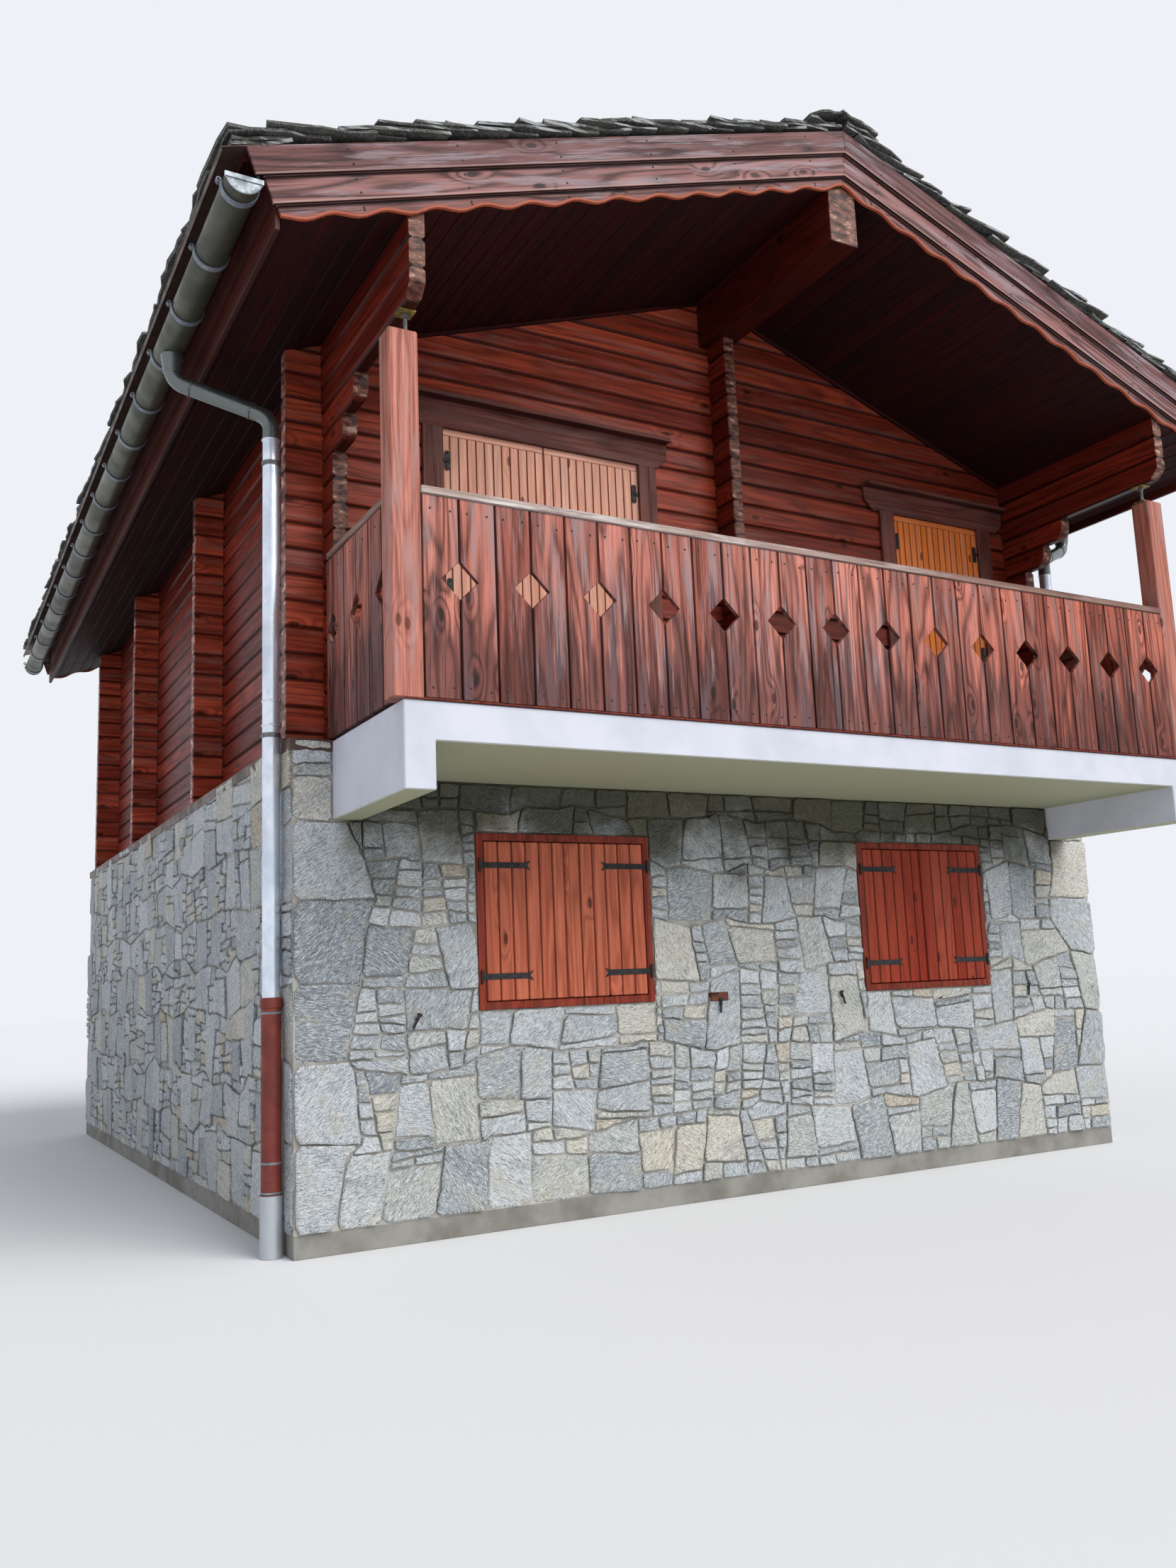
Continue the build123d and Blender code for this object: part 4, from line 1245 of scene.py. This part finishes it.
def noise(vector, scale, detail=2.0, roughness=0.5, bend=0.0, shift=(0, 0, 0)):
    """A noise as fine as the scale says."""
    return wire(vector.tree, "TexNoise", named={"Vector": stretched(vector, scale, shift), "Scale": 1.0,
                                                "Detail": detail, "Roughness": roughness, "Distortion": bend})


def step(value, start, end, low=0.0, high=1.0):
    """A soft step from low to high while the value goes from start to end."""
    return wire(value.tree, "MapRange", value, start, end, low, high, interpolation_type="SMOOTHSTEP")


def mixed(share, first, second, way="MIX"):
    """Two colours mixed by a share."""
    return wire(share.tree, "Mix", named={0: share, 6: first, 7: second}, out=2, data_type="RGBA", blend_type=way)


def tinted(base, share, *channels):
    """A colour multiplied channel by channel, as far as the share says."""
    return mixed(share, base, (*channels, 1), "MULTIPLY")


def ramp(value, *stops):
    """A run of written colours along a value."""
    colour = wire(value.tree, "ValToRGB", value)
    band = colour.socket.node.color_ramp.elements
    for place, written in stops[2:]:
        band.new(place)
    for element, (place, written) in zip(band, stops):
        element.position, element.color = place, paint(*written)
    return colour


def group(name, *gives):
    """An empty node group that takes grain coordinates and gives some named numbers."""
    tree = bpy.data.node_groups.new(name, "ShaderNodeTree")
    tree.interface.new_socket("Grain", in_out="INPUT", socket_type="NodeSocketVector")
    for label in gives:
        tree.interface.new_socket(label, in_out="OUTPUT", socket_type="NodeSocketFloat")
    return tree, Value(tree.nodes.new("NodeGroupInput").outputs[0])


def give(shared, *results):
    """Leads the results to the outputs of a node group."""
    for socket, result in zip(shared.nodes.new("NodeGroupOutput").inputs, results):
        feed_in(socket, result)
    print(shared.name, len(shared.nodes), "nodes")


def placed(shared, grain):
    """Places a node group in a material and gives all its outputs."""
    return [Value(given) for given in wire(grain.tree, "Group", grain, node_tree=shared).socket.node.outputs]


def shader(finish):
    """The inputs of a finish's Principled shader."""
    return finish.node_tree.nodes["Principled BSDF"].inputs


def new_finish(name, metallic=0.0):
    """A material with a Principled shader."""
    finish = bpy.data.materials.new(name)
    finish.use_nodes = True
    feed_in(shader(finish)["Metallic"], metallic)
    print("finish", name)
    return finish


def surface(finish, colour, roughness, height, depth):
    """Gives a finish its colour, its roughness and a relief of some depth."""
    relief = wire(finish.node_tree, "Bump", named={"Strength": 1.0, "Distance": depth, "Height": height})
    for name, feed in (("Base Color", colour), ("Roughness", roughness), ("Normal", relief)):
        feed_in(shader(finish)[name], feed)


def base_of(finish):
    """The colour that a finish has so far."""
    return Value(shader(finish)["Base Color"].links[0].from_socket)


def recolour(finish, colour):
    """Gives a finish another colour."""
    feed_in(shader(finish)["Base Color"], colour)


def own_grain(tree):
    """The grain coordinates that each copy carries."""
    return wire(tree, "Attribute", out=1, attribute_name="grain")


def own_tone(tree):
    """The number that each copy carries."""
    return wire(tree, "Attribute", out=2, attribute_name="tone")


def place_on(tree):
    """The object's own coordinates."""
    return wire(tree, "TexCoord", out=3)


def facing(tree):
    """The x, y and z of the way a surface looks."""
    return parts(wire(tree, "NewGeometry", out=1))


# %% [markdown]
# Sawn softwood shows four things: fine fibres along the board, the flame-like figure of the growth rings, knots that
# the rings flow round, and long drying cracks. One group makes all four as masks from coordinates along, across and
# through the board. The rings are the level lines of a stretched noise, which is how real boards cut real trees.

# %% Wood figure
figure, grain = group("wood_figure", "Fibre", "Rings", "Knots", "Cracks", "Patches")
fibre, streak = noise(grain, (3, 130, 130), 4, 0.65), noise(grain, (0.9, 26, 26), 3, 0.6)
cell = wire(figure, "TexVoronoi", named={"Vector": stretched(grain, (2.6, 6.5, 6.5)), "Scale": 1},
            voronoi_dimensions="2D").socket.node.outputs
from_heart = Value(cell["Distance"])
has_knot = step(wire(figure, "SeparateColor", Value(cell["Color"])), 0.8, 0.82)
near_knot = step(from_heart, 0.42, 0.06) * has_knot
level_line = noise(grain, (0.55, 5.5, 5.5), 1.2, 0.4)
wave = (level_line * 62 + near_knot * 9).maths("SINE") * 0.5 + 0.5
cloud = noise(grain, (1.3, 14, 14), 4, 0.65, shift=(3, 5, 7))
give(figure, fibre * 0.55 + streak * 0.45, wave ** 2.2, step(from_heart, 0.11, 0.07) * has_knot,
     step(noise(grain, (0.55, 34, 34), 2, 0.5), 0.68, 0.73), cloud + (fibre - 0.5) * 0.6)


def stained(name, pale, deep, ring, weathered, grain=own_grain, tone=own_tone, worn=0.35, gloss=0.45, cracked=0.8,
            relief=0.0012, ring_share=0.5, contrast=0.8, joints=0.0):
    """A stained wood from four written colours, with painted shade on its undersides, and in its grooves if asked."""
    pale, deep, ring, weathered = [paint(*written) for written in (pale, deep, ring, weathered)]
    finish = new_finish(name)
    tree = finish.node_tree
    feed_in(shader(finish)["Specular IOR Level"], 0.2)
    fibre, rings, knots, cracks, patches = placed(figure, grain(tree))
    base = mixed(tone(tree), pale, deep)
    base = mixed(rings * ring_share, base, ring)
    base = tinted(base, step(fibre, 0.42, 0.62, 0.0, contrast), 0.42, 0.36, 0.34)
    base = tinted(base, step(fibre, 0.46, 0.3, 0.0, 0.35), 1.5, 1.45, 1.45)
    base = mixed(step(patches, 0.5, 0.66, 0.0, worn), base, weathered)
    base = mixed(knots * 0.8, base, shaded(ring, 0.3, 0.25, 0.22))
    base = mixed(cracks * cracked, base, shaded(ring, 0.16, 0.12, 0.1))
    to_side, to_front, upwards = facing(tree)
    # Painted shade: faces that look down are darkened.
    base = tinted(base, step(upwards, -0.3, -0.8, 0.0, 0.8), 0.35, 0.3, 0.3)
    # Painted shade in the grooves: the bevel faces between boards are darkened, if asked.
    if joints:
        arris = step(abs(to_side * to_front), 0.2, 0.4, 0.0, joints)
        base = mixed(arris, base, shaded(ring, 0.3, 0.24, 0.24))
    height = fibre * 0.5 + rings * 0.2 - cracks * 1.2
    surface(finish, base, step(fibre, 0.3, 0.8, gloss, gloss + 0.25), height, relief)
    return finish


# %% [markdown]
# The log walls and other plain timbers are CAD nodes, which have no attributes. Their grain is read from their place:
# the axis the logs run along, and the number of the course, which moves the pattern on so that no two logs match.
# On the sawn ends the growth rings show as circles, and a band of painted shade darkens each bevelled joint.

# %% Logs
end_pale, end_dark, end_fleck = paint(124, 82, 68), paint(50, 25, 20), paint(186, 154, 136)


def log_wood(name, along, first_joint, course, pale, deep, ring, dark, worn=0.3):
    """Stained logs, laid in courses of one height, that run along axis 0 or 1."""
    def courses(tree):
        above = (parts(place_on(tree))[2] - first_joint) / course
        return above.maths("FLOOR"), above.maths("FRACT")

    def grain(tree):
        place, number = parts(place_on(tree)), courses(tree)[0]
        return wire(tree, "CombineXYZ", place[along] + number * 7.31, place[2] + number * 1.7, place[1 - along])

    def tone(tree):
        return wire(tree, "TexWhiteNoise", None, courses(tree)[0], noise_dimensions="1D")

    finish = stained(name, pale, deep, ring, dark, grain, tone, worn, 0.36, 0.55)
    tree = finish.node_tree
    part, across = courses(tree)[1], parts(place_on(tree))[1 - along]
    to_heart = ((part - 0.5) * course) ** 2.0 + (across.maths("PINGPONG", 0.09) - 0.03) ** 2.0
    ripple = noise(place_on(tree), (11, 11, 26), 4, 0.65)
    year = (to_heart.maths("SQRT") * 600 + ripple * 20).maths("SINE")
    end_colour = mixed(step(year * 0.04 + ripple, 0.44, 0.6), end_pale, end_dark)
    end_colour = mixed(step(ripple, 0.42, 0.36, 0.0, 0.8), end_colour, end_fleck)
    colour = mixed(step(abs(facing(tree)[along]), 0.6, 0.8), base_of(finish), end_colour)
    to_joint = part.maths("MINIMUM", 1.0 - part) * course
    # Painted shade: a dark band along each joint stands in for the shade in the V-groove.
    recolour(finish, mixed(step(to_joint, 0.011, 0.005, 0.0, 0.75), colour, shaded(paint(*ring), 0.35, 0.3, 0.3)))
    return finish


gable_logs = log_wood("gable_logs", 0, 2.839, 0.158, (160, 64, 40), (114, 38, 21), (66, 20, 12), (132, 84, 74), 0.4)
# Painted light: the left half of the gable logs is made much lighter, standing in for the light that falls on it.
painted_light_side = step(parts(place_on(gable_logs.node_tree))[0], 0.3, -0.3)
recolour(gable_logs, tinted(base_of(gable_logs), painted_light_side, 1.75, 2.0, 2.2))
# Painted shade: the side walls and the centre log ends take a darker copy of the log stain, standing in for the shade
# they lie in.
shade_darkened_side_logs = log_wood("shade_darkened_side_logs", 1, 2.76, 0.158, (150, 52, 33), (102, 29, 17), (56, 15, 9), (96, 50, 40))
# Painted shade: the ridge beam takes a much darker copy of the log stain, standing in for the shade deep under the
# roof.
shade_darkened_beam_wood = log_wood("shade_darkened_beam_wood", 1, 5.8, 0.5, (104, 36, 22), (78, 24, 15), (44, 13, 9), (62, 26, 20))

# %% Boards
# Painted shade: the soffit stain is written nearly black, standing in for the shade under the roof.
shade_darkened_soffit_wood = stained("shade_darkened_soffit_wood", (76, 13, 14), (50, 8, 9), (32, 5, 5), (42, 10, 11), worn=0.25, gloss=0.6)
post_wood = stained("post_wood", (210, 138, 122), (190, 120, 102), (146, 80, 64), (172, 142, 140),
                    worn=0.6, cracked=0.4, relief=0.0008, ring_share=0.45)
door_wood = stained("door_wood", (255, 196, 172), (255, 136, 46), (176, 84, 46), (222, 158, 128),
                    worn=0.3, gloss=0.36, cracked=0.2, relief=0.0006, ring_share=0.2, contrast=0.3, joints=0.8)
window_wood = stained("window_wood", (208, 116, 86), (146, 36, 2), (106, 34, 16), (158, 70, 42),
                      worn=0.3, gloss=0.3, cracked=0.2, relief=0.0006, ring_share=0.4, contrast=0.45, joints=0.5)
balcony_wood = stained("balcony_wood", (232, 152, 134), (160, 86, 70), (90, 42, 33), (154, 128, 128),
                       worn=0.9, ring_share=0.75, contrast=1.0, joints=0.8)
tree = balcony_wood.node_tree
x, y, z = parts(place_on(tree))
spread = noise(own_grain(tree), (1.1, 18, 18), 5, 0.65) * 2.4 + noise(own_grain(tree), (3, 130, 130), 4, 0.65) * 1.4
base = tinted(base_of(balcony_wood), step(z + spread, 5.34, 5.0) * 0.85, 0.26, 0.25, 0.3)
less_weather = step(x, -1.0, 2.4).maths("MAXIMUM", step(y, -5.01, -4.99, 0.0, 0.6))
recolour(balcony_wood, tinted(base, less_weather, 0.84, 0.62, 0.52))
rail_wood = stained("rail_wood", (205, 190, 182), (180, 160, 152), (150, 120, 110), (226, 222, 218),
                    worn=0.8, gloss=0.55)
x, y, z = parts(place_on(rail_wood.node_tree))
sheltered = step(x, -2.0, 1.5).maths("MAXIMUM", step(y, -4.91, -4.9))
recolour(rail_wood, tinted(base_of(rail_wood), sheltered, 0.5, 0.36, 0.32))


# %% Plain timbers of the carcass
def along_axis(axis):
    """Grain that runs along one axis of the object's place."""
    def grain(tree):
        x, y, z = parts(place_on(tree))
        return wire(tree, "CombineXYZ", *((x, z, y), (y, z, x), (z, x, y))[axis])
    return grain


def upright_or_over(tree):
    """Grain that runs up the jambs and along the lintel and drip board over them."""
    over = step(parts(place_on(tree))[2], 4.868, 4.872)
    return wire(tree, "Mix", named={0: over, 4: along_axis(2)(tree), 5: along_axis(0)(tree)}, out=1,
                data_type="VECTOR")


def even(tree):
    """Nearly the same tone all over."""
    return step(noise(place_on(tree), 0.7, 1), 0.3, 0.7, 0.3, 0.7)


fascia_wood = stained("fascia_wood", (96, 42, 32), (72, 28, 22), (48, 18, 14), (70, 42, 36), along_axis(1), even, 0.4)
casing_wood = stained("casing_wood", (138, 82, 72), (104, 56, 48), (70, 32, 26), (106, 84, 80), upright_or_over,
                      even, 0.5)
frame_wood = stained("frame_wood", (160, 66, 44), (126, 44, 26), (84, 28, 18), (120, 60, 46), along_axis(2), even,
                     0.3, 0.34)
batten_wood = stained("batten_wood", (120, 72, 58), (96, 54, 44), (74, 38, 30), (92, 70, 64), along_axis(0), even,
                      0.5)

# %% [markdown]
# On the barge boards the bead is painted a warmer brown, a painted shadow lies under each lap, and the lower edges
# are made paler. All three follow the distance down from the roof's top, measured square to the slope.

# %% Barge boards' finish
barge_wood = stained("barge_wood", (156, 106, 102), (114, 72, 70), (58, 27, 24), (158, 142, 148),
                     worn=0.7, relief=0.0014, ring_share=0.85, contrast=0.95)
x, y, z = parts(place_on(barge_wood.node_tree))
aside, below_apex = abs(x), roof_apex - z
down = aside * cos(pitch) + below_apex * sin(pitch)
depth = below_apex * cos(pitch) - aside * sin(pitch)
swing = (down * (2 * pi / wave_length)).maths("COSINE")
bead_top = barge_layers[-1][0] - bead
on_bead = step(depth + (1.0 - swing) * (wave_depth / 2), bead_top - 0.002, bead_top + 0.002, 0.0, 0.75)
base = mixed(on_bead, base_of(barge_wood), paint(176, 88, 56))
for lap, run in barge_layers[:-1]:
    # Painted shadow: a dark band on each board just under the lap of the one above; and a paler band along the upper
    # board's lower edge.
    lap_shadow = step(depth, lap - 0.001, lap) * step(depth, lap + 0.022, lap + 0.01)
    base = mixed(lap_shadow * 0.9, base, paint(30, 14, 12))
    paler_edge = step(depth, lap - 0.014, lap - 0.01) * step(depth, lap, lap - 0.004)
    base = mixed(paler_edge * 0.5, base, paint(186, 150, 142))
recolour(barge_wood, base)

# %% [markdown]
# The stone is gneiss: silvery grey, speckled with dark mica, its layers showing as fine streaks at a slant that
# differs from stone to stone. A few stones are cream or rusty. The roof slabs are the same rock, dark with age and
# spotted with lichen. The mortar is grey and sandy.

# %% Stone
gneiss, grain = group("gneiss", "Streaks", "Speckle", "Stains")
give(gneiss, noise(grain, (30, 140, 80), 4, 0.65, 0.3), noise(grain, (230, 260, 230), 2, 0.6),
     noise(grain, (5, 7, 5), 4, 0.6))


def split_stone(name, tones, light, dark, stain, stained_share, depth):
    """Split stone whose own tone picks its colour from a run of tones."""
    light, dark, stain = [paint(*written) for written in (light, dark, stain)]
    finish = new_finish(name)
    tree = finish.node_tree
    streaks, speckle, stains = placed(gneiss, own_grain(tree))
    base = ramp(own_tone(tree), *tones)
    for mask, start, end, share, colour in (
            (stains, 0.5, 0.34, 0.3, dark), (streaks, 0.48, 0.64, 0.6, light), (streaks, 0.47, 0.34, 0.75, dark),
            (speckle, 0.54, 0.64, 0.8, dark), (speckle, 0.46, 0.34, 0.5, light),
            (stains, 0.54, 0.7, stained_share, stain)):
        base = mixed(step(mask, start, end, 0.0, share), base, colour)
    # Painted shade: the sides of the stones are darkened, standing in for the shade in the joints.
    base = tinted(base, wire(tree, "Attribute", out=2, attribute_name="joint_shade"), 0.16, 0.16, 0.15)
    height = streaks + (speckle * 0.3 + stains * 1.2)
    surface(finish, base, step(speckle, 0.3, 0.7, 0.6, 0.85), height, depth)
    return finish


def shade_and_damp_under_balcony(finish):
    """Darkens what is right under the balcony: painted shade under the slab, and damp where the wall never dries."""
    x, y, z = parts(place_on(finish.node_tree))
    patch = noise(place_on(finish.node_tree), 2.5, 3, 0.6)
    # Painted shade and damp: the top of the front wall under the slab is darkened and turned olive, broken by a
    # noise.
    share = step(z + patch * 0.9, 2.35, 2.85) * step(y, -3.8, -3.88) * step(abs(x), 2.95, 2.8)
    recolour(finish, tinted(base_of(finish), share, 0.15, 0.145, 0.095))


wall_tones = ((0.0, (130, 141, 148)), (0.2, (200, 207, 212)), (0.4, (154, 164, 168)), (0.6, (216, 221, 226)),
              (0.8, (178, 184, 179)), (0.95, (216, 211, 195)), (1.0, (186, 169, 140)))
wall_stone = split_stone("wall_stone", wall_tones, (250, 252, 254), (72, 80, 86), (186, 176, 152), 0.35, 0.009)
shade_and_damp_under_balcony(wall_stone)
roof_tones = (0.0, (42, 41, 39)), (0.4, (66, 64, 60)), (0.7, (50, 45, 41)), (1.0, (98, 96, 92))
roof_stone = split_stone("roof_stone_finish", roof_tones, (130, 132, 130), (28, 27, 26), (108, 110, 92), 0.5, 0.006)
crumb = noise(place_on(roof_stone.node_tree), (5, 5, 30), 3, 0.6)
broken_edge = step(abs(facing(roof_stone.node_tree)[1]), 0.45, 0.7) * step(crumb, 0.5, 0.6, 0.0, 0.8)
recolour(roof_stone, mixed(broken_edge, base_of(roof_stone), paint(176, 180, 180)))


# %% Mortar, concrete and paint
def cast(name, pale, dark, fine, coarse, depth, rough=0.85):
    """A sandy or cast surface, with fine grit and coarse patches."""
    finish = new_finish(name)
    tree = finish.node_tree
    grit, patch = noise(place_on(tree), fine, 3, 0.65), noise(place_on(tree), coarse, 4, 0.6)
    base = mixed(step(patch, 0.35, 0.68), paint(*pale), paint(*dark))
    base = mixed(step(grit, 0.55, 0.75, 0.0, 0.35), base, paint(*dark))
    surface(finish, base, rough, grit + patch * 2.0, depth)
    return finish


mortar = cast("mortar", (190, 187, 180), (150, 147, 139), 160, 6, 0.004)
shade_and_damp_under_balcony(mortar)
bare_concrete = cast("bare_concrete", (150, 148, 142), (118, 116, 108), 120, 3, 0.002)
white_paint = cast("white_paint", (212, 215, 225), (198, 202, 213), 60, 2.2, 0.001, 0.7)
# Painted shade: faces that look down are painted olive-grey, standing in for shade and green bounce light under the
# balcony.
below = step(facing(white_paint.node_tree)[2], -0.5, -0.9)
recolour(white_paint, mixed(below, base_of(white_paint), paint(152, 153, 124)))


# %% Metals
def metal(name, bright, dull, metallic, rough, mottle, depth=0.0004):
    """Sheet or forged metal with a mottled skin."""
    finish = new_finish(name, metallic)
    tree = finish.node_tree
    spots, fine = noise(place_on(tree), mottle, 4, 0.6), noise(place_on(tree), mottle * 9, 2, 0.5)
    base = mixed(step(spots, 0.35, 0.65), paint(*bright), paint(*dull))
    surface(finish, base, step(spots, 0.3, 0.7, rough, rough + 0.2), fine, depth)
    return finish


def changes_at(finish, height, colour, way=1):
    """Gives the part of a metal piece above a height, or below it if the way is -1, another colour."""
    share = step(parts(place_on(finish.node_tree))[2], height, height + way * 0.004)
    recolour(finish, mixed(share, base_of(finish), paint(*colour)))
    return share


aged_zinc = metal("aged_zinc", (72, 73, 58), (54, 56, 44), 0.35, 0.32, 4)
bright_zinc = metal("bright_zinc", (218, 223, 230), (186, 193, 202), 0.75, 0.22, 5)
pipe_zinc = metal("pipe_zinc", (236, 243, 254), (208, 217, 230), 0.75, 0.22, 5)
changes_at(pipe_zinc, 4.56, (112, 118, 116))
brown_sheet = metal("brown_sheet", (92, 70, 62), (72, 54, 48), 0.3, 0.4, 8)
painted_iron = metal("painted_iron", (124, 48, 36), (106, 40, 32), 0.0, 0.45, 10)
feed_in(shader(painted_iron)["Metallic"], changes_at(painted_iron, 0.32, (186, 192, 198), -1) * 0.6)
dull_zinc = metal("dull_zinc", (150, 158, 164), (112, 120, 126), 0.5, 0.4, 18)
bracket_zinc = metal("bracket_zinc", (128, 135, 146), (104, 111, 122), 0.4, 0.42, 18)
yellow_plate = metal("yellow_plate", (150, 132, 62), (104, 90, 44), 0.3, 0.5, 20)
steel = metal("dull_steel", (128, 128, 130), (96, 96, 98), 0.8, 0.4, 20)
black_iron = metal("black_iron", (38, 36, 38), (24, 23, 25), 0.3, 0.45, 30, 0.0008)

# %% [markdown]
# Each finish now goes onto its pieces. Some of them are CAD nodes that stay as they are and only need a skin.

# %% Finishes onto pieces
finish_of = {
    gable_logs: ("front_logs", "back_logs", "left_log_ends", "right_log_ends"),
    shade_darkened_side_logs: ("left_logs", "right_logs", "centre_log_ends"),
    shade_darkened_beam_wood: ("ridge_beam",),
    shade_darkened_soffit_wood: ("left_soffit_boards", "right_soffit_boards", "soffit_trims"),
    balcony_wood: ("front_parapet_boards", "left_parapet_boards", "right_parapet_boards"),
    post_wood: ("left_post", "right_post"),
    rail_wood: ("handrail_boards",),
    door_wood: ("double_door_leaves", "single_door_leaf"),
    window_wood: ("front_window_leaves", "back_window_leaves"),
    barge_wood: ("front_barge", "back_barge"),
    fascia_wood: ("fascia_boards", "left_roof_panel", "right_roof_panel"),
    casing_wood: ("door_frames",),
    frame_wood: ("front_frames", "back_frames", "slab_edge_tiles"),
    batten_wood: ("parapet_battens", "hold_back_block"),
    wall_stone: [piece.name for piece in masonry],
    roof_stone: [piece.name for piece in slab_roof],
    mortar: ("front_stone_wall", "back_stone_wall", "left_stone_wall", "right_stone_wall"),
    bare_concrete: ("ground_slab",),
    white_paint: ("balcony_floor",),
    aged_zinc: ("left_gutter", "right_gutter", "gutter_rims"),
    bright_zinc: ("gutter_tongues",),
    bracket_zinc: ("gutter_hooks",),
    dull_zinc: ("gutter_caps", "sleeve_rings"),
    pipe_zinc: ("left_downpipe", "right_downpipe", "pipe_collars"),
    painted_iron: ("pipe_sleeves", "sleeve_collars"),
    steel: ("pipe_clamps", "jack_rods"),
    yellow_plate: ("jack_plates",),
    brown_sheet: ("left_drip_sheet", "right_drip_sheet", "masonry_flashing"),
    black_iron: ("shutter_ironwork", "board_nails", "hold_backs"),
}
for finish, names in finish_of.items():
    for name in names:
        piece = bpy.data.objects[name]
        if not piece.material_slots:
            piece.data.materials.append(finish)
        for slot in piece.material_slots:
            slot.material = finish
print(len(finish_of), "finishes on", sum(len(names) for names in finish_of.values()), "pieces")
floor_finish = new_finish("floor_finish")
feed_in(shader(floor_finish)["Base Color"], (0.8, 0.81, 0.83, 1))
feed_in(shader(floor_finish)["Roughness"], 0.9)
floor.data.materials.append(floor_finish)
